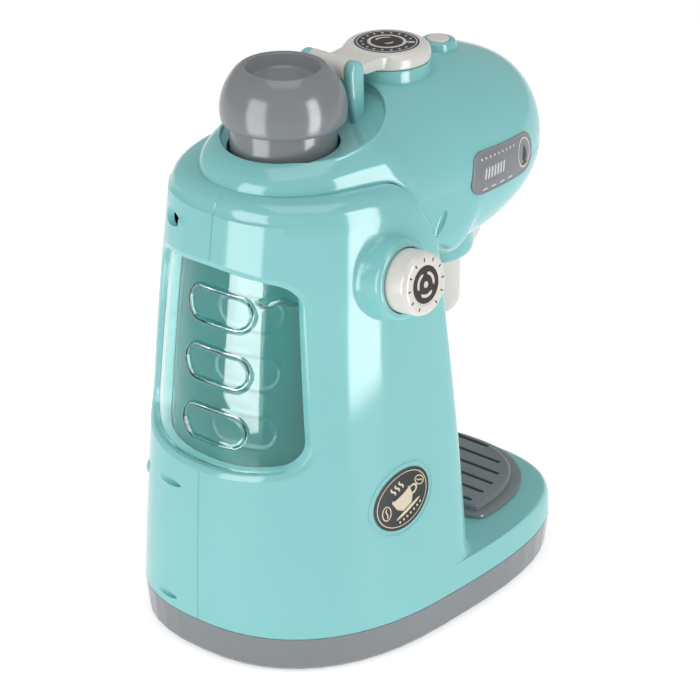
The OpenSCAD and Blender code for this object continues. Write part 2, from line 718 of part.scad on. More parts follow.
module lid_badge() color(dark) in_frame() {
    translate([0, -lid_y, lid_z + lid_h]) cylinder(h = badge_t, r = 13.2, $fn = 96);
}

module capsule_cup() color(cream) in_frame() translate([0, -lid_y, boss_top - well_depth]) {
    difference() {
        union() {
            cylinder(h = well_depth - 0.5, r = cup_r, $fn = 96);
            translate([0, 0, well_depth - 1.3]) cylinder(h = 1.1, r = cup_r + 1.5, $fn = 96);
        }
        translate([0, 0, 1.5]) cylinder(h = 40, r = well_r, $fn = 96);
    }
}

module start_knob() color(cream) in_frame() knob_place(boss_h + gap) {
    round_r = 2;
    rotate_extrude($fn = 96) difference() {
        union() {
            square([knob_r, knob_h - round_r]);
            square([knob_r - round_r, knob_h]);
            translate([knob_r - round_r, knob_h - round_r]) circle(r = round_r, $fn = 48);
        }
        translate([-1, -1]) square([shaft_r + 1, knob_h - 2]);
    }
}

module knob_shaft() color(cream) in_frame() knob_place() {
    translate([0, 0, -4]) cylinder(h = 4 + boss_h + gap + knob_h - 3, r = shaft_r, $fn = 64);
}

module knob_bush() color(gray) in_frame() knob_place() {
    difference() {
        union() {
            cylinder(h = boss_h, r = bush_r, $fn = 64);
            cylinder(h = boss_h - knob_plate, r = bush_r + 3, $fn = 64);
        }
        translate([0, 0, -1]) cylinder(h = 20, r = shaft_r + run_fit, $fn = 64);
    }
}

module knob_clip() color(metal) in_frame() knob_place() {
    translate([0, 0, -1.5]) difference() {
        cylinder(h = 1.2, r = shaft_r + 3, $fn = 48);
        translate([0, 0, -1]) cylinder(h = 4, r = shaft_r, $fn = 48);
    }
}

module knob_badge() color(dark) in_frame() knob_place(boss_h + gap + knob_h) {
    cylinder(h = badge_t, r = 7.6, $fn = 64);
}

module button_bezel() color(mint) in_frame() translate([0, -button_y, bezel_low]) {
    difference() {
        cylinder(h = bezel_top - bezel_low, r = bezel_r, $fn = 64);
        translate([0, 0, -1]) cylinder(h = 20, r = button_r + run_fit, $fn = 64);
    }
}

module push_button() color(cream) in_frame() translate([0, -button_y, 0]) {
    translate([0, 0, bezel_low - flange_t]) {
        cylinder(h = button_top - bezel_low + flange_t, r = button_r, $fn = 64);
        cylinder(h = flange_t - 0.1, r = button_r + 1, $fn = 64);
    }
}

module button_spring() color(metal) in_frame() translate([0, -button_y, 0]) {
    coil(board_z + board_t, button_travel + spring_solid, 2.6, 0.35, 5, 8);
}

module button_board() color(teal) in_frame() {
    translate([-12, -button_y - 10, board_z]) cube([24, 20, board_t]);
}

module spout_collar() color(mint) in_frame() translate([0, -spout_y, collar_z]) {
    difference() {
        rotate_extrude($fn = 96) {
            translate([0, collar_round]) square([collar_r, collar_h - collar_round]);
            square([collar_r - collar_round, collar_round + 1]);
            translate([collar_r - collar_round, collar_round]) intersection() {
                circle(r = collar_round, $fn = 64);
                translate([0, -collar_round]) square(collar_round);
            }
        }
        translate([0, 0, -1]) cylinder(h = 60, r = spout_r + 0.1, $fn = 96);
        translate([0, 0, collar_floor]) cylinder(h = 60, r = collar_r - 2 * wall, $fn = 96);
    }
}

module spout_nozzle() color(cream) in_frame() translate([0, -spout_y, 0]) {
    round_r = 8;
    difference() {
        union() {
            rotate_extrude($fn = 96) {
                translate([0, spout_z + round_r]) square([spout_r, collar_z + collar_floor + 12 - spout_z - round_r]);
                translate([0, spout_z]) square([spout_r - round_r, round_r + 1]);
                translate([spout_r - round_r, spout_z + round_r]) intersection() {
                    circle(r = round_r, $fn = 64);
                    translate([0, -round_r]) square(round_r);
                }
            }
            translate([0, 0, collar_z + collar_floor]) cylinder(h = 2, r = nozzle_flange, $fn = 64);
        }
        translate([0, 0, spout_z - 1]) cylinder(h = 90, r = 2.5, $fn = 32);
        translate([0, 0, spout_z + 20]) cylinder(h = 90, r = 8, $fn = 48);
    }
}

// The tap's body nests against the front of the spout's collar
module front_tap() color(cream) in_frame() {
    difference() {
        translate([0, -tap_y, tap_low]) {
            cylinder(h = 7, r1 = tap_r - 3, r2 = tap_r, $fn = 64);
            translate([0, 0, 7]) cylinder(h = 36, r = tap_r, $fn = 64);
        }
        translate([0, -spout_y, tap_low - 1]) cylinder(h = 60, r = collar_r + 0.15, $fn = 96);
        translate([0, -tap_y - 2.5, tap_low - 1]) cylinder(h = 60, r = 2, $fn = 32);
    }
}

function shell_strip(t, from, to) = [for (l = [for (k = [0 : 5]) [76 + 19.6 * k, from], for (k = [5 : -1 : 0]) [76 + 19.6 * k, to]])
    ring(l[0], l[1], t)];

// The clear panel fills the window and follows the body's curve
module window_panel() color([0.8, 0.95, 0.95, 0.45]) in_frame() resize([0, 0, 0]) {
    intersection() {
        loft([for (i = [0 : 32]) shell_strip(30 + 120 * i / 32, window_set, window_set + window_t)]);
        window_cut(-0.1);
    }
}

// The tank's wall closes the window from inside
module tank_wall() moulded(teal) {
    intersection() {
        loft([for (i = [0 : 28]) shell_strip(14 + 152 * i / 28, sill_deep + gap, sill_deep + gap + wall)]);
        window_cut(sill_wall);
    }
}

module drip_tray() color(gray) in_frame() {
    difference() {
        union() {
            translate([0, 0, ledge_z]) linear_extrude(height = rim_h) tray_outline(rim_w);
            translate([0, 0, ledge_z - tray_depth]) linear_extrude(height = tray_depth + 0.1) tray_outline(-wall);
        }
        translate([0, 0, ledge_z - tray_depth + tray_wall]) linear_extrude(height = 30)
            tray_outline(-wall - tray_wall);
    }
}

module drip_grate() color(gray) in_frame() {
    difference() {
        translate([0, 0, rim_top]) linear_extrude(height = grate_rise) tray_outline(0);
        for (k = [0 : slot_count - 1]) {
            y = 35 + slot_pitch * k;
            x = grate_half * fall((y + 1 - tray_y) / grate_reach, grate_pow_front) - 6;
            translate([-x, -y - slot_w / 2, rim_top - 1]) cube([2 * x, slot_w, 10]);
        }
    }
}

// The stickers and plates on curved faces are cut from a skin laid over them
module body_badge() moulded(dark) {
    z = 68.3;
    y = 37.1;
    intersection() {
        translate([-body_wall(z, y), y, z]) rotate([0, 0, -8.6]) rotate([0, -90 + side_draft, 0])
            rotate([0, 0, -63]) linear_extrude(height = 12, center = true)
                polygon([for (i = [0 : 47]) [15 * cos(7.5 * i), 12 * sin(7.5 * i)]]);
        difference() {
            half_shell(badge_t);
            half_shell();
        }
    }
}

module head_plate() moulded(gray) {
    intersection() {
        translate([-head_half - 10, -head_full_y, head_seam_z]) rotate([90, 0, 90]) linear_extrude(height = 25)
            offset(r = 2.5, $fn = 32) offset(delta = -2.5)
                polygon([[11.1, 4.1], [3.1, 12.9], [-29.4, 11.3], [-35.9, 2.3], [-29.7, -5.5], [6.9, -5]]);
        difference() {
            scale([1 + badge_t / head_half, 1, 1]) union() {
                head_solid(1);
                head_solid(-1);
            }
            head_solid(1);
            head_solid(-1);
        }
    }
}

body_left();
body_right();
case_screw_top();
case_screw_middle();
case_screw_low();
base_cover();
battery_door();
door_screw();
contact_plus();
contact_minus();
foot_front_left();
foot_front_right();
foot_rear_left();
foot_rear_right();
sound_board();
loudspeaker();
head_upper();
head_lower();
head_screw_left();
head_screw_right();
pump_cap();
pump_cylinder();
pump_spring();
suction_tube();
lid_lever();
lid_pin();
lid_badge();
capsule_cup();
start_knob();
knob_shaft();
knob_bush();
knob_clip();
knob_badge();
button_bezel();
push_button();
button_spring();
button_board();
spout_collar();
spout_nozzle();
front_tap();
window_panel();
tank_wall();
drip_tray();
drip_grate();
body_badge();
head_plate();
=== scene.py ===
import json
import math

import bpy
from mathutils import Matrix, Vector


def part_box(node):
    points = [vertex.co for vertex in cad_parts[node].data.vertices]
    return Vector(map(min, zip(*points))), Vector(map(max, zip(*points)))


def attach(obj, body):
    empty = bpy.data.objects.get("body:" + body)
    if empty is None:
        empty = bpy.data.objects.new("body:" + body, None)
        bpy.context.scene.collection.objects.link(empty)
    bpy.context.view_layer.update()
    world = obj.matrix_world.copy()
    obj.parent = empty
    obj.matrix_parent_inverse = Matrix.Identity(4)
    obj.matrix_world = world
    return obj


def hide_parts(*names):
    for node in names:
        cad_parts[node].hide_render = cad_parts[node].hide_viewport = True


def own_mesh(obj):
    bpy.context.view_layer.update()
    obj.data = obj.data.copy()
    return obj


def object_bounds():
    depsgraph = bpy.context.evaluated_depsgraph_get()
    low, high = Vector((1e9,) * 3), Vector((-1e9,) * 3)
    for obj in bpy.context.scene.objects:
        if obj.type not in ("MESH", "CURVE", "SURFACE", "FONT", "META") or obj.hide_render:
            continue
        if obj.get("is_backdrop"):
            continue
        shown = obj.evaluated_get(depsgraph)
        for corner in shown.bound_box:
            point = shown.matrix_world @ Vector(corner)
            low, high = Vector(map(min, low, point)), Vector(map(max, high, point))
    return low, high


print("loading the packed coffee maker")
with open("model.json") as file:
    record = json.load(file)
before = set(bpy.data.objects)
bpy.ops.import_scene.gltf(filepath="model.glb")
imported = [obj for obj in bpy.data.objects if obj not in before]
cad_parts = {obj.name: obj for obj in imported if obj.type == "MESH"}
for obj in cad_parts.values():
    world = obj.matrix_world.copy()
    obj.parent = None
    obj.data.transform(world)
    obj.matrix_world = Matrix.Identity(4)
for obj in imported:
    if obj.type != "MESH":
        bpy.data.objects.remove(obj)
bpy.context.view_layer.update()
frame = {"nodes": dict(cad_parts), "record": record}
middleX = 3.39327  # the body's plane of symmetry, in mm to the right of the frame's middle
mm = 0.001


def spot(x, y, z):
    return Vector(((x + middleX) * mm, y * mm, z * mm))


def letGo():
    if bpy.context.object and bpy.context.object.mode != "OBJECT":
        bpy.ops.object.mode_set(mode="OBJECT")
    bpy.ops.object.select_all(action="DESELECT")


def pick(piece):
    letGo()
    piece.select_set(True)
    bpy.context.view_layer.objects.active = piece


def editAll(piece):
    pick(piece)
    bpy.ops.object.mode_set(mode="EDIT")
    bpy.ops.mesh.select_all(action="SELECT")


def weld(piece, gap=0.000004):
    editAll(piece)
    bpy.ops.mesh.remove_doubles(threshold=gap)
    bpy.ops.mesh.dissolve_degenerate(threshold=0.000001)
    bpy.ops.mesh.select_all(action="SELECT")
    bpy.ops.mesh.normals_make_consistent(inside=False)
    bpy.ops.object.mode_set(mode="OBJECT")


def turnOver(piece):
    editAll(piece)
    bpy.ops.mesh.flip_normals()
    bpy.ops.object.mode_set(mode="OBJECT")


def faceAwayFrom(piece, inside):
    # turns an open shell's faces away from a point behind it
    lean = sum(f.area * f.normal.dot(f.center - inside) for f in piece.data.polygons)
    if lean < 0:
        turnOver(piece)


def thicken(piece, thickness, side=-1, even=True):
    pick(piece)
    wall = piece.modifiers.new("wall", "SOLIDIFY")
    wall.thickness = thickness
    wall.offset = side
    wall.use_even_offset = even
    bpy.ops.object.modifier_apply(modifier="wall")


def roundEdges(piece, width, segments=3, angle=40):
    pick(piece)
    edge = piece.modifiers.new("edge", "BEVEL")
    edge.width = width
    edge.segments = segments
    edge.limit_method = "ANGLE"
    edge.angle_limit = math.radians(angle)
    bpy.ops.object.modifier_apply(modifier="edge")


def carve(piece, cutter, how="DIFFERENCE"):
    pick(piece)
    cut = piece.modifiers.new("cut", "BOOLEAN")
    cut.operation = how
    cut.solver = "EXACT"
    cut.object = cutter
    bpy.ops.object.modifier_apply(modifier="cut")
    bpy.data.objects.remove(cutter)


def joined(pieces, name):
    letGo()
    for piece in pieces:
        piece.select_set(True)
    bpy.context.view_layer.objects.active = pieces[0]
    if len(pieces) > 1:
        bpy.ops.object.join()
    pieces[0].name = name
    return pieces[0]


def settle(piece, material, body, replaced=(), angle=32):
    # the last step of each piece: its finish, its body, and the nodes it stands for
    piece.data.name = piece.name
    pick(piece)
    bpy.ops.object.transform_apply(location=True, rotation=True, scale=True)
    bpy.ops.object.shade_smooth_by_angle(angle=math.radians(angle))
    piece.data.materials.clear()
    piece.data.materials.append(material)
    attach(piece, body)
    if replaced:
        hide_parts(*replaced)
    return piece


def draped(name, rows):
    # a grid whose rows of vertices are laid on rows of points, all of one length
    letGo()
    across, along = len(rows[0]) - 1, len(rows) - 1
    bpy.ops.mesh.primitive_grid_add(x_subdivisions=across, y_subdivisions=along, size=2)
    sheet = bpy.context.object
    sheet.name = name
    for v in sheet.data.vertices:
        i = round((v.co.x + 1) / 2 * across)
        j = round((v.co.y + 1) / 2 * along)
        v.co = rows[j][i]
    return sheet


def capped(name, rows, steps, gap):
    # closed rings piled up, the first and the last closed by a point
    for at in (0, -1):
        heart = sum(rows[at][:-1], Vector()) / steps
        rows.insert(0 if at == 0 else len(rows), [heart] * (steps + 1))
    piece = draped(name, rows)
    weld(piece, gap)
    return piece


def turned(name, profile, steps, where):
    # a circle drawn out ring by ring, as on a lathe; radii and heights in mm
    letGo()
    radius, height = profile[0]
    radius = max(radius, 0.004)
    bpy.ops.mesh.primitive_circle_add(vertices=steps, radius=radius * mm, location=(0, 0, height * mm))
    piece = bpy.context.object
    piece.name = name
    bpy.ops.object.transform_apply(location=True)
    bpy.ops.object.mode_set(mode="EDIT")
    bpy.ops.mesh.select_all(action="SELECT")
    for nextRadius, nextHeight in profile[1:]:
        nextRadius = max(nextRadius, 0.004)
        bpy.ops.mesh.extrude_region_move(TRANSFORM_OT_translate={"value": (0, 0, (nextHeight - height) * mm)})
        grow = nextRadius / radius
        if abs(grow - 1) > 1e-9:
            bpy.ops.transform.resize(value=(grow, grow, 1), center_override=(0, 0, nextHeight * mm))
        radius, height = nextRadius, nextHeight
    bpy.ops.object.mode_set(mode="OBJECT")
    weld(piece, 0.00001)
    piece.data.transform(where)
    return piece


def softened(corners, steps=6):
    # a profile through corners given as radius, height and rounding
    path = []
    for k, corner in enumerate(corners):
        here = Vector(corner[:2])
        size = corner[2] if len(corner) > 2 else 0
        if not size or k in (0, len(corners) - 1):
            path.append(tuple(here))
            continue
        back = (Vector(corners[k - 1][:2]) - here).normalized()
        on = (Vector(corners[k + 1][:2]) - here).normalized()
        half = back.angle(on) / 2
        reach = size / math.tan(half)
        heart = here + (back + on).normalized() * size / math.sin(half)
        a = here + back * reach - heart
        b = here + on * reach - heart
        turn = math.atan2(a.x * b.y - a.y * b.x, a.dot(b))
        for i in range(steps + 1):
            s, c = math.sin(turn * i / steps), math.cos(turn * i / steps)
            path.append((heart.x + a.x * c - a.y * s, heart.y + a.x * s + a.y * c))
    return path


def prism(name, outline, thrust):
    # a flat outline filled and pushed along a line
    letGo()
    bpy.ops.mesh.primitive_circle_add(vertices=len(outline), radius=1, fill_type="NGON")
    piece = bpy.context.object
    piece.name = name
    for v, point in zip(piece.data.vertices, outline):
        v.co = point
    bpy.ops.object.mode_set(mode="EDIT")
    bpy.ops.mesh.select_all(action="SELECT")
    bpy.ops.mesh.extrude_region_move(TRANSFORM_OT_translate={"value": thrust})
    bpy.ops.mesh.select_all(action="SELECT")
    bpy.ops.mesh.normals_make_consistent(inside=False)
    bpy.ops.object.mode_set(mode="OBJECT")
    return piece


def bar(name, radius, start, end, steps=48):
    # a round bar between two points
    line = end - start
    letGo()
    bpy.ops.mesh.primitive_cylinder_add(vertices=steps, radius=radius, depth=line.length)
    piece = bpy.context.object
    piece.name = name
    turn = line.to_track_quat("Z", "Y").to_matrix().to_4x4()
    piece.data.transform(Matrix.Translation((start + end) / 2) @ turn)
    return piece


def evenly(points, count, closed=True):
    # the same line with its points spread evenly
    loop = points + [points[0]] if closed else points
    run = [0.0]
    for a, b in zip(loop, loop[1:]):
        run.append(run[-1] + math.dist(a, b))
    out, k = [], 0
    for i in range(count):
        s = run[-1] * i / (count if closed else count - 1)
        while k < len(run) - 2 and run[k + 1] < s:
            k += 1
        f = (s - run[k]) / max(1e-9, run[k + 1] - run[k])
        out.append(tuple(p + (q - p) * min(1, f) for p, q in zip(loop[k], loop[k + 1])))
    return out


def plastic(name, colour, shade=0.05, rough=0.16, grain=0.02, scale=90):
    # moulded plastic: a slow drift of tint and gloss, and a faint orange peel
    material = bpy.data.materials.new(name)
    material.use_nodes = True
    tree = material.node_tree
    shader = tree.nodes["Principled BSDF"]
    where = tree.nodes.new("ShaderNodeTexCoord")
    cloud = tree.nodes.new("ShaderNodeTexNoise")
    cloud.inputs["Scale"].default_value = 14
    cloud.inputs["Detail"].default_value = 3
    tint = tree.nodes.new("ShaderNodeValToRGB")
    tint.color_ramp.elements[0].position = 0.3
    tint.color_ramp.elements[1].position = 0.7
    tint.color_ramp.elements[0].color = [c * (1 - shade) for c in colour] + [1]
    tint.color_ramp.elements[1].color = [min(1, c * (1 + shade)) for c in colour] + [1]
    peel = tree.nodes.new("ShaderNodeTexNoise")
    peel.inputs["Scale"].default_value = scale
    peel.inputs["Detail"].default_value = 4
    gloss = tree.nodes.new("ShaderNodeMapRange")
    gloss.inputs["To Min"].default_value = rough * 0.8
    gloss.inputs["To Max"].default_value = rough * 1.25
    skin = tree.nodes.new("ShaderNodeBump")
    skin.inputs["Strength"].default_value = grain
    skin.inputs["Distance"].default_value = 0.0006
    for source, out, target, into in (
            (where, "Object", cloud, "Vector"), (where, "Object", peel, "Vector"), (cloud, "Fac", tint, "Fac"),
            (tint, "Color", shader, "Base Color"), (peel, "Fac", gloss, "Value"),
            (gloss, "Result", shader, "Roughness"), (peel, "Fac", skin, "Height"), (skin, "Normal", shader, "Normal")):
        tree.links.new(source.outputs[out], target.inputs[into])
    shader.inputs["IOR"].default_value = 1.39
    return material


def metal(name, colour, rough=0.3, scale=400):
    material = plastic(name, colour, 0.06, rough, 0.05, scale)
    material.node_tree.nodes["Principled BSDF"].inputs["Metallic"].default_value = 1
    return material


print("mixing the finishes")
mintPlastic = plastic("mintPlastic", (0.262, 0.620, 0.622), 0.02, 0.11)
grayPlastic = plastic("grayPlastic", (0.235, 0.250, 0.265), 0.03, 0.16)
creamPlastic = plastic("creamPlastic", (0.790, 0.765, 0.715), 0.02, 0.2)
# painted shade: the tank wall's dark teal stands for the shadowed inside of the body seen through the clear panel
tankPaintedShade = plastic("tankPaintedShade", (0.002, 0.135, 0.128), 0.25, 0.12)
charcoalFilm = plastic("charcoalFilm", (0.020, 0.023, 0.024), 0.1, 0.3, 0.02)
brownFilm = plastic("brownFilm", (0.024, 0.010, 0.008), 0.1, 0.32, 0.02)
creamFilm = plastic("creamFilm", (0.760, 0.660, 0.490), 0.03, 0.35, 0.02)
whiteFilm = plastic("whiteFilm", (0.700, 0.690, 0.680), 0.03, 0.35, 0.02)
grayFilm = plastic("grayFilm", (0.250, 0.265, 0.280), 0.03, 0.3, 0.02)
zincSteel = metal("zincSteel", (0.60, 0.60, 0.61), 0.3)
footRubber = plastic("footRubber", (0.030, 0.030, 0.032), 0.12, 0.7, 0.2, 500)
boardLaminate = plastic("boardLaminate", (0.020, 0.115, 0.055), 0.2, 0.35, 0.06, 300)
speakerPaper = plastic("speakerPaper", (0.020, 0.020, 0.020), 0.2, 0.6, 0.2, 260)

clearPlastic = plastic("clearPlastic", (0.80, 0.93, 0.92), 0.01, 0.03, 0.015)
clearShader = clearPlastic.node_tree.nodes["Principled BSDF"]
clearShader.inputs["Transmission Weight"].default_value = 1.0
clearShader.inputs["IOR"].default_value = 1.41

finishOf = {
    "mint": mintPlastic,
    "gray": grayPlastic,
    "white": creamPlastic,
    "sticker": charcoalFilm,
    "steel": zincSteel,
    "rubber": footRubber,
    "board": boardLaminate,
    "speaker": speakerPaper,
    "clear": clearPlastic,
    "tank": tankPaintedShade,
}
for part in frame["record"]["subparts"]:
    node = frame["nodes"][part["node"]]
    node.data.materials.clear()
    node.data.materials.append(finishOf[part["material_slot"]])

bodyForm = {
    "half": 64.8, "rearReach": 82.3, "baseReach": 105.2, "towerReach": 30.0,
    "wideY": 12.5, "seamZ": 15.8, "ledgeZ": 27.5, "towerTop": 197.0,
    "draft": 4.0, "wall": 2.2, "edgeR": 6.0, "rootR": 7.5, "shoulderR": 8.0, "shelf": 6.0,
    "rearPow": 2.4, "frontPow": 3.0, "waist": 120, "groove": 0.3,
}
saddleForm = {"high": 29, "low": 4, "bend": 18, "slope": 1.4}  # where the head's seam turns down, and how fast
wideY = bodyForm["wideY"]


def signedPow(v, p):
    return math.copysign(abs(v) ** p, v)


def smooth(t):
    u = min(1, max(0, t))
    return u * u * (3 - 2 * u)


def fall(q, n):
    return max(0, 1 - min(1, max(0, q)) ** n) ** (1 / n)


def halfAt(z):
    return bodyForm["half"] - math.tan(math.radians(bodyForm["draft"])) * (z - bodyForm["seamZ"])


def rearAt(z):
    return bodyForm["rearReach"] - 0.012 * (z - bodyForm["seamZ"]) - (z - bodyForm["seamZ"]) ** 2 / 2700


def frontAt(z):
    return bodyForm["towerReach"] - 0.05 * (z - bodyForm["ledgeZ"]) - (z - bodyForm["ledgeZ"]) ** 2 / 1540


def oval(half, rear, front, t, rearPow=bodyForm["rearPow"], frontPow=bodyForm["frontPow"], y0=wideY):
    c, s = math.cos(math.radians(t)), math.sin(math.radians(t))
    n, reach = (rearPow, rear) if s >= 0 else (frontPow, front)
    return half * signedPow(c, 2 / n), y0 + reach * signedPow(s, 2 / n)


def bodyWall(z, y):
    if y > wideY:
        return halfAt(z) * fall((y - wideY) / rearAt(z), bodyForm["rearPow"])
    return halfAt(z) * fall((wideY - y) / frontAt(z), bodyForm["frontPow"])


def rearWall(x, z):
    return wideY + rearAt(z) * fall(abs(x) / halfAt(z), bodyForm["rearPow"])


def saddle(y):
    # the tower's top: level at the rear, then a curve and a straight slope down to the front
    f = saddleForm
    curve = max(0, f["high"] - max(y, f["low"])) ** 2 / f["bend"]
    return bodyForm["towerTop"] - curve - f["slope"] * max(0, f["low"] - y)


def topOf(t):
    z = 185
    for k in range(14):
        z = saddle(oval(halfAt(z), rearAt(z), frontAt(z), t)[1])
    return z


def shoulderAt(t):
    z = topOf(t)
    return max(0.05, smooth((oval(halfAt(z), rearAt(z), frontAt(z), t)[1] + 2) / 14.5))


def ring(z, inset, t, front=None):
    reach = (frontAt(z) if front is None else front) - inset
    x, y = oval(halfAt(z) - inset, rearAt(z) - inset, reach, t)
    return x, y, z


def bodyProfile(t, groove):
    # one line up the body's face: base, ledge, root, wall, shoulder and shelf
    f, g = bodyForm, groove
    top, r = topOf(t), f["shoulderR"] * shoulderAt(t)
    rows = [ring(f["seamZ"], 0.4 + g, t, f["baseReach"]), ring(f["seamZ"] + 0.45, g, t, f["baseReach"])]
    for k in range(1, 4):
        z = f["seamZ"] + 0.45 + (f["ledgeZ"] - f["edgeR"] - f["seamZ"] - 0.45) * k / 3
        rows.append(ring(z, g, t, f["baseReach"]))
    for k in range(1, 9):
        a = math.radians(90 * k / 8)
        rows.append(ring(f["ledgeZ"] - f["edgeR"] * (1 - math.sin(a)), g, t,
                         f["baseReach"] - f["edgeR"] * (1 - math.cos(a))))
    first, last = f["baseReach"] - f["edgeR"], f["towerReach"] + f["rootR"]
    for k in range(1, 8):
        rows.append(ring(f["ledgeZ"], g, t, first + (last - first) * k / 8))
    for k in range(9):
        a = math.radians(90 * k / 8)
        z = f["ledgeZ"] + f["rootR"] * (1 - math.cos(a))
        rows.append(ring(z, g, t, frontAt(z) + f["rootR"] * (1 - math.sin(a))))
    low, waist = f["ledgeZ"] + f["rootR"], f["waist"]
    for k in range(1, 31):
        z = low + (waist - low) * k / 15 if k <= 15 else waist + (top - r - waist) * (k - 15) / 15
        rows.append(ring(z, g, t))
    for k in range(1, 10):
        a = math.radians(10 * k)
        x, y, z = ring(top, r * (1 - math.cos(a)) + g * (1 - k / 9), t)
        rows.append((x, y, saddle(y) - r * (1 - math.sin(a))))
    for k in range(1, 5):
        # the shelf rises with the saddle, so that it closes under the head
        x, y, z = ring(top, r + f["shelf"] * k / 4, t)
        rows.append((x, y, saddle(y)))
    return rows


def stationAngles(count=64):
    # close together where the plan turns, and one row just beside the parting line
    turn = []
    for base, power in ((90, 1.2), (180, 1.5)):
        for k in range(count):
            s = k / count
            share = s ** power / (s ** power + (1 - s) ** power)
            turn.append(base + 90 * share)
        if base == 90:
            turn.insert(1, 90.14)
    turn.append(269.98)
    turn.append(270)
    return turn


print("bending the body's two halves")


def bodyHalf(name, side):
    rows = []
    angles = stationAngles()
    for k, t in enumerate(angles):
        groove = bodyForm["groove"] if k in (0, len(angles) - 1) else 0.0
        rows.append([spot(side * min(-0.02, x), y, z) for x, y, z in bodyProfile(t, groove)])
    half = draped(name, rows)
    weld(half)
    faceAwayFrom(half, spot(0, 20, 60))
    thicken(half, bodyForm["wall"] * mm, -1, False)
    for v in half.data.vertices:
        # corners thrown out where the ledge runs into the wall are drawn back
        away, limit = v.co.x - middleX * mm, halfAt(v.co.z / mm) * mm
        if abs(away) > limit:
            v.co.x = middleX * mm + math.copysign(limit, away)
    return half


window = {
    "half": 43.6, "low": 85.0, "high": 168.0, "corner": 10.5, "slope": 0.08,
    "bezel": 2.6, "set": 2.7, "thick": 1.4, "sill": 8.0,
}


def windowOutline(grow, count=160):
    # the opening's outline in x and z, its corners rounded and then grown
    f = window
    high = f["half"] - f["slope"] * (f["high"] - f["low"])
    corners = [(f["half"] * i / 12, f["low"] + 5 * (i / 12) ** 2) for i in range(-12, 13)]
    corners += [(high * i / 12, f["high"] - 4 * (i / 12) ** 2) for i in range(12, -13, -1)]
    shape = [(-200, -200), (200, -200), (200, 400), (-200, 400)]
    for a, b in zip(corners, corners[1:] + corners[:1]):
        length = math.dist(a, b)
        nx, nz = -(b[1] - a[1]) / length, (b[0] - a[0]) / length
        level = a[0] * nx + a[1] * nz + f["corner"]
        kept = []
        for p, q in zip(shape, shape[1:] + shape[:1]):
            dp, dq = p[0] * nx + p[1] * nz - level, q[0] * nx + q[1] * nz - level
            if dp >= 0:
                kept.append(p)
            if dp * dq < 0:
                s = dp / (dp - dq)
                kept.append((p[0] + (q[0] - p[0]) * s, p[1] + (q[1] - p[1]) * s))
        shape = kept
    loop = []
    for k in range(720):
        a = math.radians(k / 2 - 90)
        c, s = math.cos(a), math.sin(a)
        best = max(shape, key=lambda p: p[0] * c + p[1] * s)
        loop.append((best[0] + (f["corner"] + grow) * c, best[1] + (f["corner"] + grow) * s))
    return evenly(loop, count)


def onRear(x, z, depth):
    # a point below the rear wall's face, straight in from it
    e = 0.05
    here = spot(x, rearWall(x, z), z)
    across = spot(x + e, rearWall(x + e, z), z) - spot(x - e, rearWall(x - e, z), z)
    up = spot(x, rearWall(x, z + e), z + e) - spot(x, rearWall(x, z - e), z - e)
    out = up.cross(across).normalized()
    if out.y < 0:
        out = -out
    return here - out * depth * mm


def windowCutter(grow):
    return prism("windowCutter", [spot(x, 30, z) for x, z in windowOutline(grow)], (0, 0.08, 0))


trayForm = {"y": 33.0, "half": 44.0, "reach": 50.0, "back": 4.3, "backPow": 3, "frontPow": 2.3}


def trayOutline(grow, z, count=144):
    f = trayForm
    half, back, front = f["half"] + grow, f["back"] + grow, f["reach"] + grow
    loop = [oval(half, back, front, k / 2, f["backPow"], f["frontPow"], -f["y"]) for k in range(720)]
    return [spot(x, y, z) for x, y in evenly(loop, count)]


knobForm = {"y": 36.9, "z": 163.2, "tilt": 6.0, "hole": 14.6, "dial": 8.3, "film": 17.5}
knobWall = bodyWall(knobForm["z"], knobForm["y"])


def knobPlace(out=0.0):
    tilt = math.radians(knobForm["tilt"])
    heart = spot(-knobWall - out * math.cos(tilt), knobForm["y"], knobForm["z"] + out * math.sin(tilt))
    return Matrix.Translation(heart) @ Matrix.Rotation(math.radians(-90) + tilt, 4, "Y")


rightHalf = bodyHalf("bodyRightHalf", 1)
leftHalf = bodyHalf("bodyLeftHalf", -1)

postForm = {
    "posts": [(77, 180), (76, 66), (66, 24.5)], "socket": 4.4, "recess": 3.4,
    "leaves": [(90.7, 72, 1.8), (92.5, 20.9, 1.6)],
}
for y, z in postForm["posts"]:
    socket = bar("socket", postForm["socket"] * mm, spot(3, y, z), spot(bodyWall(z + 3, y + 3) + 0.2, y, z))
    carve(leftHalf, socket, "UNION")
for y, z in postForm["posts"]:
    carve(leftHalf, bar("recess", postForm["recess"] * mm, spot(12, y, z), spot(80, y, z), 64))
for y, z, radius in postForm["leaves"]:
    # a shallow leaf over a hidden post, with the wall thicker behind it
    pad = draped("pad", [[onRear(6 + 24 * i / 12, z - 4 + 8 * j / 6, 1.2) for i in range(13)] for j in range(7)])
    faceAwayFrom(pad, spot(0, 0, z))
    thicken(pad, 4 * mm)
    carve(leftHalf, pad, "UNION")
    carve(leftHalf, bar("leaf", radius * mm, spot(8, y, z), spot(45, y, z), 48))
for half in (rightHalf, leftHalf):
    carve(half, windowCutter(window["bezel"]))
    carve(half, prism("trayCutter", trayOutline(-1.9, 21), (0, 0, 0.012)))
knobHole = bar("knobHole", knobForm["hole"] * mm, knobPlace(-20) @ Vector(), knobPlace(20) @ Vector(), 96)
carve(rightHalf, knobHole)
settle(rightHalf, mintPlastic, "body", ["body_right"])
settle(leftHalf, mintPlastic, "body", ["body_left"])

print("raising the knob's collar")


def wallAlongKnob(a, b):
    # how far the body's face lies along the knob's axis, b up the wall and a to the rear
    place = knobPlace(0)
    axis = (place.to_3x3() @ Vector((0, 0, 1))).normalized()
    start = place @ Vector((b * mm, a * mm, 0))
    s = 0.0
    for k in range(30):
        p = (start + axis * s * mm) / mm
        gapLeft = middleX - p.x - bodyWall(p.z, p.y)
        s -= gapLeft * 0.95
    return s


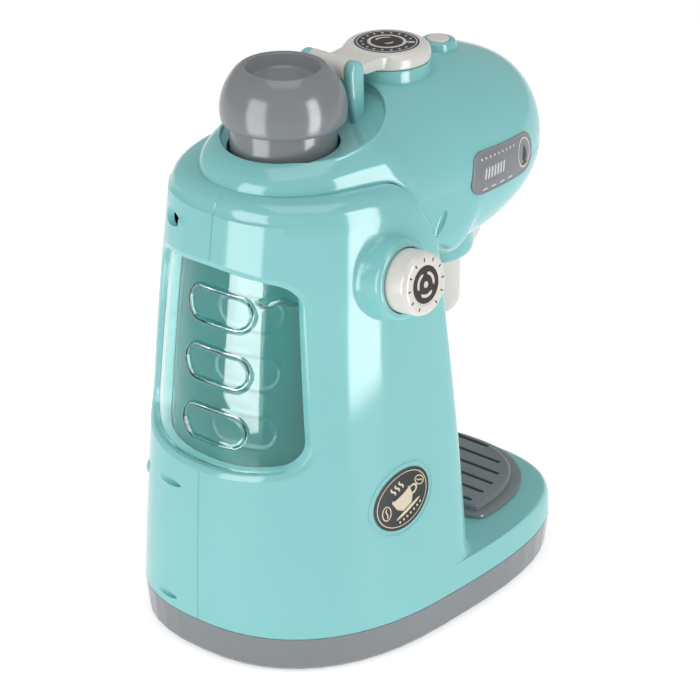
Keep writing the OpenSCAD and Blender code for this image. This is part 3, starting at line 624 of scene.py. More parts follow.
def aroundKnob(reach, height, lift=None):
    # one ring of the collar, at a height or lifted off the body's face
    row = []
    for k in range(145):
        turn = math.radians(2.5 * k)
        a, b = reach * math.sin(turn), reach * math.cos(turn)
        level = height if lift is None else min(height, wallAlongKnob(a, b) + lift)
        row.append(knobPlace(0) @ Vector((b * mm, a * mm, level * mm)))
    return row


rows = [aroundKnob(17.9, 5.0, -1.6)]
for reach, lift in ((17.9, -0.2), (17.4, 0.05), (17.0, 0.3), (16.7, 0.8), (16.5, 1.5), (16.45, 2.4)):
    rows.append(aroundKnob(reach, 5.0, lift))
rim = [(16.4, 5.2), (16.3, 8.0, 2.0), (13.2, 7.8, 0.6), (13.1, 2.5), (8.2, 2.5), (8.2, -3.0)]
rows += [aroundKnob(reach, height) for reach, height in softened(rim, 8)]
rows.append(aroundKnob(16.9, -3.0, -3.0))
rows.append(rows[0])
collar = draped("knobCollar", rows)
weld(collar)
settle(collar, mintPlastic, "body", ())

print("framing the window")
rows = []  # the bevelled face, then the deep sill behind the clear panel
for grow, depth in ((2.62, 0.0), (2.45, 0.02), (2.2, 0.12), (0.7, 0.75), (0.35, 0.95), (0.15, 1.25), (0.0, 2.0),
                    (-0.3, 4.5), (-0.8, window["sill"])):
    loop = windowOutline(grow)
    rows.append([onRear(x, z, depth) for x, z in loop + loop[:1]])
frameRing = draped("windowFrame", rows)
weld(frameRing)
faceAwayFrom(frameRing, spot(0, 300, 126))
turnOver(frameRing)
thicken(frameRing, 1.0 * mm)
settle(frameRing, mintPlastic, "body", (), 50)

print("pressing the loops into the clear panel")
emboss = {"lift": 0.85, "tube": 1.45, "straight": 9.3, "heart": -4.3, "half": 7.0, "rows": (151.6, 127.2, 102.0)}
wave = [(-22.0, 158.0), (-24.5, 156.6), (-26.9, 156.4), (-29.2, 158.0), (-31.3, 159.0), (-33.4, 158.2), (-35.2, 157.2)]


def ridge(x, z):
    # how high the panel's face stands over a plain one
    f, far = emboss, 99.0
    for heart in f["rows"]:
        along = max(0, abs(x - f["heart"]) - f["straight"])
        far = min(far, abs(math.hypot(along, z - heart) - f["half"]))
    for a, b in zip(wave, wave[1:]):
        run = (b[0] - a[0], b[1] - a[1])
        s = ((x - a[0]) * run[0] + (z - a[1]) * run[1]) / (run[0] ** 2 + run[1] ** 2)
        s = min(1, max(0, s))
        far = min(far, math.hypot(x - a[0] - run[0] * s, z - a[1] - run[1] * s))
    return f["lift"] * smooth(1 - far / f["tube"])


def rearSheet(name, depth, lift=None, fine=150):
    # a sheet behind the rear wall's face, trimmed to the window's outline
    rows = []
    for j in range(fine + 1):
        z = 81 + (172 - 81) * j / fine
        rows.append([onRear(x, z, depth - (lift(x, z) if lift else 0))
                     for x in (-47.5 + 95 * i / fine for i in range(fine + 1))])
    sheet = draped(name, rows)
    faceAwayFrom(sheet, spot(0, 0, 126))
    return sheet


clear = rearSheet("clearPanel", window["set"] + 0.1, ridge)
thicken(clear, (window["thick"] - 0.2) * mm)
carve(clear, windowCutter(-0.15), "INTERSECT")
settle(clear, clearPlastic, "body", ["window_panel"], 60)

# the tank wall behind the clear panel, its dark teal colour painted shade
tank = rearSheet("tankBack", window["sill"] + 0.35, lambda x, z: 0.45 * ridge(x + 11.5, z), 130)
thicken(tank, 2.0 * mm)
carve(tank, windowCutter(1.4), "INTERSECT")
settle(tank, tankPaintedShade, "body", ["tank_wall"], 60)

print("blowing up the head")
headForm = {
    "half": 50.3, "reach": 94.8, "fullY": 25.0, "seamZ": 183.8, "rise": 39.4, "drop": 40.0, "neckRise": 24.3,
    "bevel": 2.0, "sidePow": 2.19, "footPow": 8, "noseLow": 1.8, "noseTop": 3.3, "nosePlan": 2.35, "backPow": 2.2,
    "footY": 2.0, "seam": 0.3, "pumpY": 40.0, "mouthR": 22.5, "lidY": 22.8, "wellR": 14.1,
    "spoutY": 53.0, "spoutHole": 17.65, "tapY": 74.0, "tapHole": 7.45, "buttonY": 55.6, "buttonHole": 7.35,
}
neckHalf = halfAt(bodyForm["towerTop"]) - 6
headBack = wideY + rearAt(bodyForm["towerTop"]) - 8
headTopZ = headForm["seamZ"] + headForm["rise"] - 2


def headWidth(y):
    f = headForm
    if y < -f["fullY"]:
        return f["half"] * fall((-f["fullY"] - y) / (f["reach"] - f["fullY"]), f["nosePlan"])
    if y < wideY:
        return f["half"] + (neckHalf - f["half"]) * smooth((y + f["fullY"]) / (wideY + f["fullY"]))
    return (neckHalf - 5 * smooth((y - wideY) / 28)) * fall((y - wideY) / (headBack - wideY), f["backPow"])


def headTop(y):
    f = headForm
    if y < -f["fullY"]:
        nose = fall((-f["fullY"] - y) / (f["reach"] - f["fullY"]), f["noseTop"])
        return f["seamZ"] + (headTopZ - f["seamZ"]) * nose
    return bodyForm["towerTop"] + f["neckRise"] * fall((y + f["fullY"]) / (headBack + f["fullY"]), f["bevel"])


def headNear(y):
    # how much a section belongs to the part that stands on the tower
    return smooth((y + headForm["fullY"]) / (headForm["footY"] + headForm["fullY"]))


def headMid(y):
    return max(headForm["seamZ"], saddle(y) + headForm["seam"] * min(1, max(0, (saddleForm["high"] - y) / 3)))


def headLow(y):
    f = headForm
    if y < -f["fullY"]:
        return f["seamZ"] - f["drop"] * fall((-f["fullY"] - y) / (f["reach"] - f["fullY"]), f["noseLow"])
    if y < f["footY"]:
        a, b = f["seamZ"] - f["drop"], saddle(f["footY"]) + f["seam"]
        return a + (b - a) * headNear(y)
    return saddle(y) + f["seam"]


def headStations(last, count):
    # rows that crowd together where the nose closes
    f = headForm
    nose = []
    for i in range(41):
        share = 1 - math.cos(math.radians(90 * i / 40))
        nose.append(-f["reach"] + 0.08 + (f["reach"] - f["fullY"]) * share)
    return nose + [-f["fullY"] + (last + f["fullY"]) * i / count for i in range(1, count + 1)]


def sidePower(y, up):
    # the section's exponent, squarer where the lower shell stands on the tower
    f = headForm
    return f["sidePow"] if up else f["sidePow"] + (f["footPow"] - f["sidePow"]) * headNear(y)


def headShell(name, up):
    f, rows, steps = headForm, [], 72
    for y in headStations(headBack - 0.1 if up > 0 else 11.5, 72 if up > 0 else 30):
        base = headMid(y) if up > 0 else f["seamZ"]
        end = headTop(y) if up > 0 else headLow(y)
        high = max(0.02, abs(end - base))
        power = sidePower(y, up > 0)
        soft = min(0.35, high / 4)  # the parting edge is softly broken
        width = headWidth(y)
        row = []
        for i in range(steps + 1):
            t = math.radians(180 * i / steps)
            x = width * signedPow(math.cos(t), 2 / power)
            h = high * abs(math.sin(t)) ** (2 / power)
            inset = soft * max(0, 1 - h / soft) ** 2 if soft > 0.02 else 0
            row.append(spot(x - math.copysign(min(inset, abs(x)), x), y, base + up * max(0, h)))
        row += [spot(-width * (1 - i / 6) + (soft if i == 0 else 0), y, base) for i in range(1, 6)]
        row += [spot(width * i / 6, y, base) for i in range(0, 6)]
        row.append(row[0].copy())
        rows.append(row)
    rows.insert(0, [rows[0][0].lerp(rows[0][steps // 2], 0.5)] * len(rows[0]))
    rows.append([rows[-1][0].lerp(rows[-1][steps // 2], 0.5)] * len(rows[-1]))
    shell = draped(name, rows)
    weld(shell, 0.000008)
    return shell


# the bowl round the pump: radius, y, z and lean in degrees of three rims
scoopRims = [(24.7, 40.0, 207.9, 0.0), (33.0, 28.1, 210.7, -10.8), (47.0, 28.1, 240.7, -10.8)]


def scoopCutter():
    pile = []
    for radius, y, z, lean in scoopRims:
        letGo()
        bpy.ops.mesh.primitive_circle_add(vertices=144, radius=radius * mm, location=spot(0, y, z),
                                          rotation=(math.radians(lean), 0, 0))
        pile.append(bpy.context.object)
        bpy.ops.object.transform_apply(location=True, rotation=True)
    bowl = joined(pile, "scoopCutter")
    editAll(bowl)
    bpy.ops.mesh.convex_hull()
    bpy.ops.object.mode_set(mode="OBJECT")
    return bowl


def drill(shell, name, radius, y, low, high, steps):
    carve(shell, bar(name, radius * mm, spot(0, y, low), spot(0, y, high), steps))


f = headForm
upper = headShell("headUpperShell", 1)
carve(upper, scoopCutter())
drill(upper, "mouth", f["mouthR"], f["pumpY"], 180, 240, 144)
seatProfile = softened([(0, 205), (18.0, 205), (18.0, 225.1, 0.7), (15.6, 225.1, 0.4), (15.4, 223.8), (0, 223.8)], 5)
seat = turned("seat", seatProfile, 128, Matrix.Translation(spot(0, -f["lidY"], 0)))
carve(upper, seat, "UNION")
drill(upper, "well", f["wellR"], -f["lidY"], 195, 240, 128)
drill(upper, "buttonHole", f["buttonHole"], -f["buttonY"], 200, 240, 96)
settle(upper, mintPlastic, "body", ["head_upper"], 34)


def headRoof(x, y):
    # the height of the head's top face
    base = headMid(y)
    return base + (headTop(y) - base) * fall(abs(x) / headWidth(y), headForm["sidePow"])


def lipPoint(turn):
    # where the bowl's slanted side leaves the head's top
    rings = []
    for radius, y, z, lean in scoopRims:
        c, s = math.cos(math.radians(lean)), math.sin(math.radians(lean))
        a, b = radius * math.sin(turn), radius * math.cos(turn)
        rings.append((a, y + b * c, z + b * s))
    best = None
    for k in range(240):
        s = 2 * k / 240
        p, q, t = rings[int(s)], rings[int(s) + 1], s % 1
        here = [u + (v - u) * t for u, v in zip(p, q)]
        if abs(here[0]) < headWidth(here[1]) - 1 and headRoof(here[0], here[1]) > here[2]:
            best = here
    return best


def tube(name, path, radius, steps=12):
    # a round bead along a path, thin at both ends
    rows, n = [], len(path)
    turns = [math.radians(360 * i / steps) for i in range(steps + 1)]
    for k, here in enumerate(path):
        run = (path[min(n - 1, k + 1)] - path[max(0, k - 1)]).normalized()
        side = run.cross(Vector((0, 0, 1))).normalized()
        up = side.cross(run)
        thin = radius * min(1, 0.05 + min(k, n - 1 - k) / 5)
        rows.append([here + (side * math.cos(turn) + up * math.sin(turn)) * thin for turn in turns])
    piece = draped(name, rows)
    weld(piece, 0.000002)
    return piece


lip = [lipPoint(math.radians(a)) for a in range(42, 319, 3)]
lip = [p[:2] for p in lip if p]
for k in range(8):
    inner = [[(a[i] + 2 * b[i] + c[i]) / 4 for i in (0, 1)] for a, b, c in zip(lip, lip[1:], lip[2:])]
    lip = lip[:1] + inner + lip[-1:]
lip = [spot(x, y, headRoof(x, y) - 0.35) for x, y in lip]
settle(tube("scoopLip", lip, 0.8 * mm), mintPlastic, "body", (), 60)

for node, name in (("head_screw_left", "headScrewLeft"), ("head_screw_right", "headScrewRight")):
    low, high = [Vector(corner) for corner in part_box(node)]
    foot, tip = low.z / mm, high.z / mm
    profile = softened([(0, foot + 0.5), (0.6, foot + 0.5), (0.7, foot), (1.3, foot, 0.3), (1.3, foot + 1.6, 0.3),
                        (0.9, foot + 1.7), (0.9, tip - 1.6), (0, tip)], 3)
    screw = turned(name, profile, 40, Matrix.Translation(((low.x + high.x) / 2, (low.y + high.y) / 2, 0)))
    settle(screw, zincSteel, "body", [node])

# a leaf-shaped recess low on each side of the head, over the screw inside
leafForm = {"out": 0.7, "y": 0.6, "z": 171.2, "tilt": 123, "size": (2.5, 7.2, 2.4, 1)}
lower = headShell("headLowerShell", -1)
for side in (-1, 1):
    letGo()
    bpy.ops.mesh.primitive_uv_sphere_add(segments=64, ring_count=48, radius=mm)
    leaf = bpy.context.object
    half = headWidth(0) * (1 - ((f["seamZ"] - 172) / (f["seamZ"] - headLow(0))) ** 6) ** (1 / 6)
    place = Matrix.Translation(spot(side * (half + leafForm["out"]), leafForm["y"], leafForm["z"]))
    tilt = Matrix.Rotation(math.radians(leafForm["tilt"]), 4, "X")
    leaf.data.transform(place @ tilt @ Matrix.Diagonal(leafForm["size"]))
    carve(lower, leaf)
drill(lower, "spoutHole", f["spoutHole"], -f["spoutY"], 120, 175, 128)
drill(lower, "tapHole", f["tapHole"], -f["tapY"], 120, 175, 96)
settle(lower, mintPlastic, "body", ["head_lower"], 34)

print("turning the pump, knob, spout and button")
pumpForm = {
    "radius": 25.2, "heart": 221.7, "pull": 1.15, "rim": 238.2,
    "plunger": 21.2, "low": 178.65, "top": 217.4, "bore": 18.7, "ceiling": 214.9,
}
p = pumpForm
pumpHeart = Matrix.Translation(spot(0, f["pumpY"], 0))
dome = []
for degrees in range(-9, 44, 3):
    turn = math.radians(degrees)
    dome.append((p["radius"] * math.cos(turn) ** p["pull"], p["heart"] + p["radius"] * math.sin(turn)))
dome = [(r, z) for r, z in dome if z < p["rim"]]
skirt = [(0, 217.2), (21.2, 217.2), (23.9, 217.0)] + softened([(24.2, 216.8), (24.9, 217.9, 0.5), dome[2]], 4)
dish = softened([dome[-1], (16.9, 238.95, 0.9), (14.9, 238.55, 0.8), (12.2, 233.4, 3.0), (0, 232.4)], 7)
pump = turned("pumpDome", skirt + dome[3:] + dish, 144, pumpHeart)
plunger = bar("pumpPlunger", p["plunger"] * mm, spot(0, f["pumpY"], p["low"]), spot(0, f["pumpY"], p["top"]), 144)
drill(plunger, "plungerBore", p["bore"], f["pumpY"], 170, p["ceiling"], 144)
pump = joined([pump, plunger], "pumpDome")
settle(pump, grayPlastic, "pump", ["pump_cap"], 34)

springForm = {
    "pumpCoil": {"node": "pump_spring", "joint": "pump_press", "travel": 8.0, "y": f["pumpY"],
                 "foot": 170.1, "tall": 44.5, "reach": 8.3, "wire": 0.7, "turns": 7},
    "buttonCoil": {"node": "button_spring", "joint": "button_press", "travel": 1.5, "y": -f["buttonY"],
                   "foot": 207.15, "tall": 6.2, "reach": 2.25, "wire": 0.35, "turns": 5},
}
for name, c in springForm.items():
    path, count = [], c["turns"] * 28
    for k in range(count + 1):
        turn = math.radians(360 * c["turns"] * k / count)
        level = c["foot"] + c["wire"] + (c["tall"] - 2 * c["wire"]) * k / count
        path.append(spot(c["reach"] * math.cos(turn), c["y"] + c["reach"] * math.sin(turn), level))
    coil = tube(name, path, c["wire"] * mm, 14)
    settle(coil, zincSteel, "body", [c["node"]], 60)
    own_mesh(coil)


def lathed(name, corners, soft, steps, where, finish, body, node):
    settle(turned(name, softened(corners, soft), steps, where), finish, body, [node], 34)


lathed("knobDial", [(4.2, -1.8), (12.8, -1.8, 0.4), (12.8, 9.4, 2.4), (8.3, 9.4, 0.3), (8.1, 9.15, 0.3), (0, 9.15)],
       8, 128, knobPlace(knobForm["dial"]), creamPlastic, "knob", "start_knob")
heart = Matrix.Translation(spot(0, -f["buttonY"], 0))
lathed("buttonTop", [(0, 213.5), (5.6, 213.5), (5.6, 214.6), (4.65, 214.6), (4.65, 224.55, 0.8), (0, 224.6)],
       6, 96, heart, creamPlastic, "button", "push_button")
mound = [(4.8, 214.9), (7.9, 214.9), (7.8, 221.2, 1.5), (7.0, 223.8, 0.8), (4.9, 223.8, 0.3), (4.8, 214.9)]
lathed("buttonMound", mound, 6, 96, heart, mintPlastic, "body", "button_bezel")
heart = Matrix.Translation(spot(0, -f["spoutY"], 0))
lathed("spoutRing", [(12.4, 150), (12.4, 130, 0.5), (17.55, 130, 5.2), (17.55, 167.5), (12.4, 167.5)],
       12, 128, heart, mintPlastic, "body", "spout_collar")
lathed("spoutNozzle", [(2.5, 140), (2.5, 103.05, 0.3), (12.2, 103.05, 8.0), (12.2, 145.2), (2.5, 145.2)],
       12, 128, heart, creamPlastic, "body", "spout_nozzle")

print("shaping the lid and its hinge")
lidForm = {"y": 22.8, "z": 225.4, "r": 18.0, "h": 6.2, "hingeY": 11.4, "hingeZ": 231.2, "barrel": 4.5, "pin": 1.56}
f = lidForm
lidTop = f["z"] + f["h"]
profile = softened([(0, f["z"]), (f["r"] - 0.4, f["z"], 0.3), (f["r"], f["z"] + 0.5, 0.3), (f["r"], lidTop, 4.2),
                    (13.3, lidTop, 0.2), (13.2, lidTop - 0.12), (0, lidTop - 0.12)], 10)
lid = turned("lidLever", profile, 144, Matrix.Translation(spot(0, -f["y"], 0)))
letGo()
bpy.ops.mesh.primitive_cube_add(size=1)
arm = bpy.context.object
place = Matrix.Translation(spot(0, 0.5, f["z"] + 3.4))
arm.data.transform(place @ Matrix.Diagonal((18.9 * mm, 22 * mm, 4.8 * mm, 1)))
roundEdges(arm, 1.4 * mm, 4)
carve(lid, arm, "UNION")
sweep = []
for k in range(11):
    turn = math.radians(k * 9)
    sweep.append((9.4 + 3.2 * (1 - math.sin(turn)), -10.5 + 12 * (1 - math.cos(turn))))
sweep += [(-x, y) for x, y in reversed(sweep)]
neck = prism("neck", [spot(x, y, f["z"] + 1.1) for x, y in sweep], (0, 0, 4.7 * mm))
roundEdges(neck, 0.9 * mm, 3, 60)
carve(lid, neck, "UNION")
for name, radius, reach, steps, how in (("barrel", f["barrel"], 9.5, 96, "UNION"),
                                        ("pinHole", f["pin"], 20, 48, "DIFFERENCE")):
    ends = [spot(x, f["hingeY"], f["hingeZ"]) for x in (-reach, reach)]
    carve(lid, bar(name, radius * mm, ends[0], ends[1], steps), how)
settle(lid, creamPlastic, "lid", ["lid_lever"], 30)


# height, half depth, half width and y of an ear's sections
earForm = {"x": 12.05, "power": 3, "steps": 48, "sections": [
    (203.0, 2.0, 1.6, 9.0), (207, 2.6, 1.9, 9.3), (212, 3.3, 2.1, 9.9), (219, 3.9, 2.2, 10.7), (226, 4.2, 2.24, 11.2),
    (231.2, 4.28, 2.25, 11.4), (233.0, 3.9, 2.2, 11.4), (234.4, 3.0, 2.0, 11.4), (235.2, 1.8, 1.4, 11.4),
    (235.5, 0.3, 0.3, 11.4)]}


def ear(side, name):
    # a fin on the scoop's edge, rounded like a capsule at its top
    rows, power, steps = [], earForm["power"], earForm["steps"]
    for z, halfY, halfX, y in earForm["sections"]:
        loop = [oval(halfX, halfY, halfY, 360 / steps * k, power, power, 0) for k in range(steps + 1)]
        rows.append([spot(side * earForm["x"] + x, y + away, z) for x, away in loop])
    return capped(name, rows, steps, 0.00001)


for side, name in ((-1, "hingeEarRight"), (1, "hingeEarLeft")):
    settle(ear(side, name), mintPlastic, "body", (), 60)

print("setting out the drip tray and its grate")


def stacked(name, levels, count=144):
    rows = []
    for grow, z in levels:
        loop = trayOutline(grow, z, count)
        rows.append(loop + loop[:1])
    return capped(name, rows, count, 0.000004)


tray = stacked("trayBowl", [(-2.2, 18.6), (-2.2, 27.5), (3.45, 27.55), (3.5, 27.9), (3.5, 28.7), (3.2, 29.25),
                            (2.6, 29.5), (0.3, 29.5), (-3.6, 29.4), (-3.8, 20.2)])
settle(tray, grayPlastic, "tray", ["drip_tray"], 36)
grate = stacked("slottedGrate", [(-0.9, 29.52), (-0.9, 30.9), (-1.1, 31.5), (-1.6, 31.95), (-2.2, 32.1),
                                 (-2.9, 32.1), (-3.3, 31.85)])
slotForm = {"count": 6, "first": 35, "pitch": 8.8, "margin": 6, "radius": 1}
f = trayForm
for k in range(slotForm["count"]):
    y, radius = slotForm["first"] + slotForm["pitch"] * k, slotForm["radius"]
    half = f["half"] * fall((y + radius - f["y"]) / f["reach"], f["frontPow"]) - slotForm["margin"]
    outline = []
    for degrees in range(5, 360, 10):
        c, s = math.cos(math.radians(degrees)), math.sin(math.radians(degrees))
        outline.append(spot(math.copysign(half - radius, c) + c * radius, -y + s * radius, 27))
    carve(grate, prism("slot", outline, (0, 0, 0.01)))
settle(grate, grayPlastic, "grate", ["drip_grate"], 36)

print("laying on the printed films")


def fan(outline, inner=0.0, bands=6):
    # rows from the heart of a flat outline to its edge
    cu = sum(p[0] for p in outline) / len(outline)
    cv = sum(p[1] for p in outline) / len(outline)
    rows = []
    for j in range(bands + 1):
        s = max(0.0005, inner + (1 - inner) * j / bands)
        rows.append([(cu + (u - cu) * s, cv + (v - cv) * s) for u, v in outline + outline[:1]])
    return rows


def ellipse(u, v, a, b, turn=0.0, count=72):
    c, s = math.cos(math.radians(turn)), math.sin(math.radians(turn))
    loop = []
    for k in range(count):
        t = math.radians(360 * k / count)
        x, y = a * math.cos(t), b * math.sin(t)
        loop.append((u + x * c - y * s, v + x * s + y * c))
    return loop


def stripe(path, width):
    # a line with a width, thinner at both ends
    path = evenly(path, 40, False)
    rows = []
    for side in (-1, 0, 1):
        row = []
        for k, (u, v) in enumerate(path):
            a, b = path[max(0, k - 1)], path[min(len(path) - 1, k + 1)]
            run = math.dist(a, b) or 1
            thin = width / 2 * min(1, 0.25 + 6 * min(k, len(path) - 1 - k) / len(path))
            row.append((u - (b[1] - a[1]) / run * thin * side, v + (b[0] - a[0]) / run * thin * side))
        rows.append(row)
    return rows


def roundedOutline(corners, radius=0, count=120):
    # a polygon with soft corners, of one radius or each of its own
    loop, n = [], len(corners)
    for k in range(n):
        here = tuple(corners[k]) if len(corners[k]) > 2 else tuple(corners[k]) + (radius,)
        path = softened([corners[k - 1][:2], here, corners[(k + 1) % n][:2]], 8)
        loop += path[1:-1]
    return evenly(loop, count)


def bean(u, v, size, turn):
    # a coffee bean: an oval and the wavy line along it
    c, s = math.cos(math.radians(turn)), math.sin(math.radians(turn))
    line = [(size * 0.8 * t / 10, size * 0.16 * math.sin(t * 0.32)) for t in range(-10, 11)]
    line = [(u + x * c - y * s, v + x * s + y * c) for x, y in line]
    return fan(ellipse(u, v, size, size * 0.66, turn)), stripe(line, size * 0.2)


def arc(radius, start, end, count=31):
    # points round a film's middle, from one angle to another
    turns = [math.radians(start + (end - start) * k / (count - 1)) for k in range(count)]
    return [(radius * math.cos(turn), radius * math.sin(turn)) for turn in turns]


def dot(u, v, radius, count=24):
    return fan(ellipse(u, v, radius, radius, 0, count), 0, 2)


def printOn(name, layers, onto, inside, body, replaced):
    # each layer is a finish, its height over the face and the shapes printed with it
    for number, (finish, lift, shapes) in enumerate(layers):
        pieces = []
        for shape in shapes:
            sheet = draped(name, [[onto(u, v, lift) for u, v in row] for row in shape])
            weld(sheet, 0.0000005)
            faceAwayFrom(sheet, inside)
            thicken(sheet, 0.05 * mm)
            pieces.append(sheet)
        layer = joined(pieces, name + (f"Print{number}" if number else "Base"))
        settle(layer, finish, body, () if number else replaced, 50)


def bodySide(y, z):
    return spot(-bodyWall(z, y), y, z)


def headSide(y, z):
    f = headForm
    up = z >= headMid(y)
    base = headMid(y) if up else f["seamZ"]
    high = (headTop(y) - base) if up else (base - headLow(y))
    power = sidePower(y, up)
    return spot(-headWidth(y) * max(0, 1 - min(1, abs(z - base) / high) ** power) ** (1 / power), y, z)


def liftedOff(face, y, z, lift):
    # a point so far off a face on the knob's side
    e = 0.05
    out = (face(y + e, z) - face(y - e, z)).cross(face(y, z + e) - face(y, z - e)).normalized()
    if out.x > 0:
        out = -out
    return face(y, z) + out * lift * mm


badge = {"y": 37.1, "z": 68.3, "long": 15.0, "short": 12.0, "along": (0.892, 0.451)}


def ontoBadge(u, v, lift):
    c, s = badge["along"]
    return liftedOff(bodySide, badge["y"] - c * u + s * v, badge["z"] + s * u + c * v, lift)


cup = roundedOutline([(-5.4, 3.0), (5.4, 3.0), (4.7, -1.8), (2.6, -4.4), (-2.6, -4.4), (-4.7, -1.8)], 0.9)
beanLeft, beanRight = bean(-9.4, 0.4, 2.7, 62), bean(10.6, 0.8, 2.3, 118)
steam = [stripe([(x + 0.55 * math.sin(t * 0.7), 4.3 + t * 0.42) for t in range(10)], 0.8) for x in (-2.3, 0.0, 2.3)]
crumbs = [dot(2.1 * k, -8.0 + 0.05 * k * k, 0.5, 20) for k in range(-3, 4)]
ringAround = fan(ellipse(0, 0, 17.4, 14.3), 0.968, 2)
printOn("badgeRing", [(mintPlastic, 0.16, [ringAround])], ontoBadge, spot(0, 37, 68), "body", ())
printOn("ovalBadge", [
    (charcoalFilm, 0.28, [fan(ellipse(0, 0, badge["long"], badge["short"]), 0, 14)]),
    (creamFilm, 0.33, [fan(ellipse(0, 0, 13.7, 10.7), 0.972, 1), fan(cup), fan(ellipse(6.0, 0.1, 2.5, 2.1), 0.62, 2),
                       fan(ellipse(0, -5.6, 7.2, 0.7)), fan(ellipse(-9.4, 0.4, 3.2, 2.3, 62)),
                       fan(ellipse(10.6, 0.8, 2.8, 2.0, 118))] + steam + crumbs),
    (brownFilm, 0.38, [beanLeft[0], beanRight[0], fan(ellipse(0, 2.7, 4.6, 0.6))]),
    (creamFilm, 0.43, [beanLeft[1], beanRight[1]]),
], ontoBadge, spot(0, 37, 68), "body", ["body_badge"])


plateForm = {"y": -37.4, "z": 187.2, "lens": (14.8, 0.0, 5.2, 6.2)}


def ontoPlate(u, v, lift):
    return liftedOff(headSide, plateForm["y"] - u, plateForm["z"] + v, lift)


plate = roundedOutline([(-18.4, 9.3, 5.0), (22.4, 7.6, 6.5), (21.9, -8.6, 7.0), (-22.8, -8.3, 5.5)])
rows = []
for share, lift in ((0.001, 0.5), (0.2, 0.5), (0.4, 0.5), (0.6, 0.5), (0.8, 0.5), (0.9, 0.5), (0.93, 0.52),
                    (0.95, 0.66), (0.975, 0.7), (0.99, 0.6), (0.998, 0.42), (1.0, 0.2), (1.0, -0.35), (0.5, -0.35),
                    (0.001, -0.35)):
    rows.append([ontoPlate(u * share, v * share, lift) for u, v in plate + plate[:1]])
panel = draped("sidePlate", rows)
weld(panel, 0.000001)
settle(panel, grayPlastic, "body", ["head_plate"], 40)
pill = roundedOutline([(-17.0, -4.4), (-15.2, 3.0), (1.6, 3.6), (-0.2, -3.8)], 3.2)
strokes = [stripe([(-13.4 + 1.95 * k, -2.7), (-12.4 + 1.95 * k, 2.1)], 1.0) for k in range(7)]
dots = [dot(-14.5 + 2.7 * k, 5.9 - 0.06 * k, 0.5) for k in range(9)]
dashes = [stripe([(-15.0 + 5.6 * k, -6.6), (-11.8 + 5.6 * k, -6.5)], 0.6) for k in range(4)]
drop = []
for k in range(60):
    turn = 2 * math.pi * k / 60
    drop.append((14.8 + 2.4 * math.sin(turn) * math.sin(turn / 2) ** 1.3, -0.2 + 3.6 * math.cos(turn)))
lens = ellipse(*plateForm["lens"])
printOn("plate", [
    (grayFilm, 0.56, [fan(pill, 0.93, 1), fan(lens, 0, 4)]),
    (whiteFilm, 0.58, strokes + dots + dashes + [fan(lens, 0.9, 1)]),
    (brownFilm, 0.62, [fan(drop, 0, 3), fan(ellipse(14.8, -4.4, 2.6, 0.5), 0, 2)]),
], ontoPlate, spot(0, -37, 187), "body", ())


def ontoLid(u, v, lift):
    return spot(-u, -lidForm["y"] - v, lidTop - 0.08 + lift)


beads = [dot(u, v, 0.55) for u, v in arc(10.2, 60, 360, 16)]
printOn("lidSticker", [
    (charcoalFilm, 0.10, [fan(ellipse(0, 0, 13.2, 13.2))]),
    (whiteFilm, 0.16, [fan(ellipse(0, 0, 12.4, 12.4), 0.965, 1), fan(ellipse(0, 0, 7.9, 7.9), 0, 4),
                       stripe([(6.4, 4.6), (9.3, 6.7)], 1.7)] + beads),
    (brownFilm, 0.21, [fan(ellipse(0, 0, 6.6, 6.6))]),
    (creamFilm, 0.26, [stripe(arc(4.6, 110, 205), 1.0), stripe(arc(2.6, 290, 385), 0.9)]),
], ontoLid, spot(0, -lidForm["y"], 200), "lid", ["lid_badge"])


def ontoKnob(u, v, lift):
    # u runs to the front and v up, seen from outside
    return knobPlace(knobForm["film"]) @ Vector((v * mm, -u * mm, lift * mm))


ticks = [stripe([a, b], 0.6) for a, b in zip(arc(9.3, -60, 240, 11), arc(10.9, -60, 240, 11))]
arcs = [stripe(arc(4.6, start, start + 90), 1.3) for start in (105, 225, -15)]
printOn("knobSticker", [
    (brownFilm, 0.04, [fan(ellipse(0, 0, 7.6, 7.6))]),
    (brownFilm, 0.26, ticks),
    (whiteFilm, 0.10, arcs + [fan(ellipse(0, 0, 1.3, 1.3))]),
], ontoKnob, knobPlace(-20) @ Vector(), "knob", ["knob_badge"])

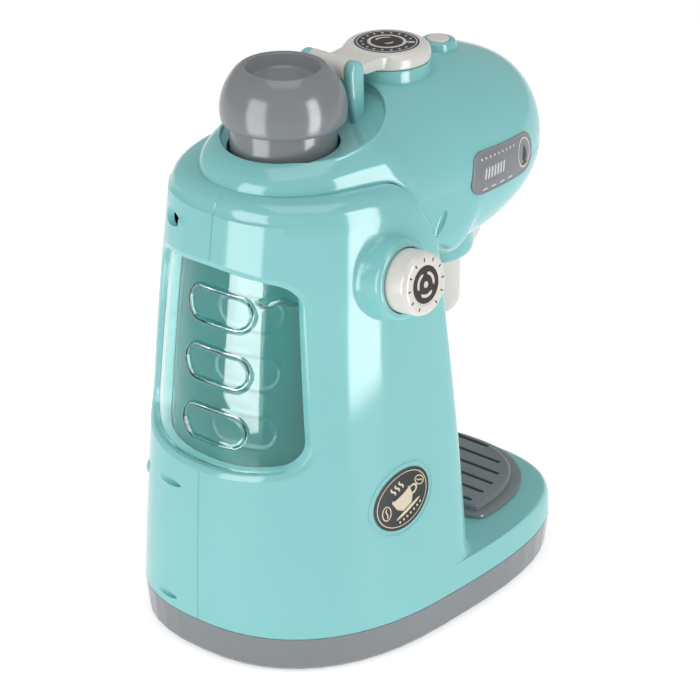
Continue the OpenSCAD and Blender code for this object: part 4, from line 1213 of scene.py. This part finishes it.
print("setting the camera and the lights")
shot = {"aim": (middleX, 1.1, 103.1), "azimuth": 220.58, "elevation": 25.04, "away": 1400.0, "lens": 174.2,
        "shift": 0.0027}
a, e = math.radians(shot["azimuth"]), math.radians(shot["elevation"])
toward = Vector((math.sin(a) * math.cos(e), -math.cos(a) * math.cos(e), math.sin(e)))
aim = Vector(shot["aim"]) * mm
letGo()
bpy.ops.object.camera_add(location=aim + toward * shot["away"] * mm)
camera = bpy.context.object
camera.name = "productCamera"
camera.rotation_euler = toward.to_track_quat("Z", "Y").to_euler()
camera.data.lens = shot["lens"]
camera.data.sensor_width = 36
camera.data.shift_x = shot["shift"]
camera.data.clip_start = 0.01
bpy.context.scene.camera = camera

bpy.ops.mesh.primitive_plane_add(size=12, location=(0, 0, 0))
floor = bpy.context.object
floor.name = "studioFloor"
paper = plastic("studioPaper", (0.92, 0.92, 0.92), 0.003, 0.55, 0.0)
paperShader = paper.node_tree.nodes["Principled BSDF"]
paperShader.inputs["Emission Color"].default_value = (1, 1, 1, 1)
paperShader.inputs["Emission Strength"].default_value = 0.5
floor.data.materials.append(paper)
floor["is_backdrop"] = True


def softbox(name, place, size, power, at, glint=False):
    # a glint box shows only as a reflection, the others only light the object
    letGo()
    bpy.ops.object.light_add(type="AREA", location=place)
    lamp = bpy.context.object
    lamp.name = name
    lamp.data.shape = "RECTANGLE"
    lamp.data.size, lamp.data.size_y = size
    lamp.data.energy = power
    lamp.rotation_euler = (Vector(place) - Vector(at)).to_track_quat("Z", "Y").to_euler()
    lamp.visible_camera = False
    lamp.visible_diffuse = not glint
    lamp.visible_glossy = glint


softbox("keyLeft", (0.115, 0.66, 0.36), (0.41, 0.7), 1.1, (0.115, 0, 0.36))
softbox("keyRight", (-0.78, -0.095, 0.36), (0.31, 0.7), 1.35, (0, -0.095, 0.36))
softbox("keyTop", (-0.1, 0.1, 1.7), (1.5, 1.5), 7.2, (0, 0, 0.12))
softbox("glintLeft", (0.048, 0.375, 0.21), (0.215, 0.4), 2.3, (0.048, 0, 0.21), True)
softbox("glintRight", (-0.36, -0.009, 0.21), (0.137, 0.4), 2.4, (0, -0.009, 0.21), True)
softbox("glintTop", (-0.1, 0.1, 1.2), (0.8, 0.8), 5, (0, 0, 0.12), True)
world = bpy.data.worlds.new("paleStudio")
world.use_nodes = True
sky = world.node_tree.nodes["Background"]
sky.inputs["Color"].default_value = (1, 1, 1, 1)
sky.inputs["Strength"].default_value = 0.4
bpy.context.scene.world = world
bpy.context.scene.view_settings.view_transform = "Standard"

low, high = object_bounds()
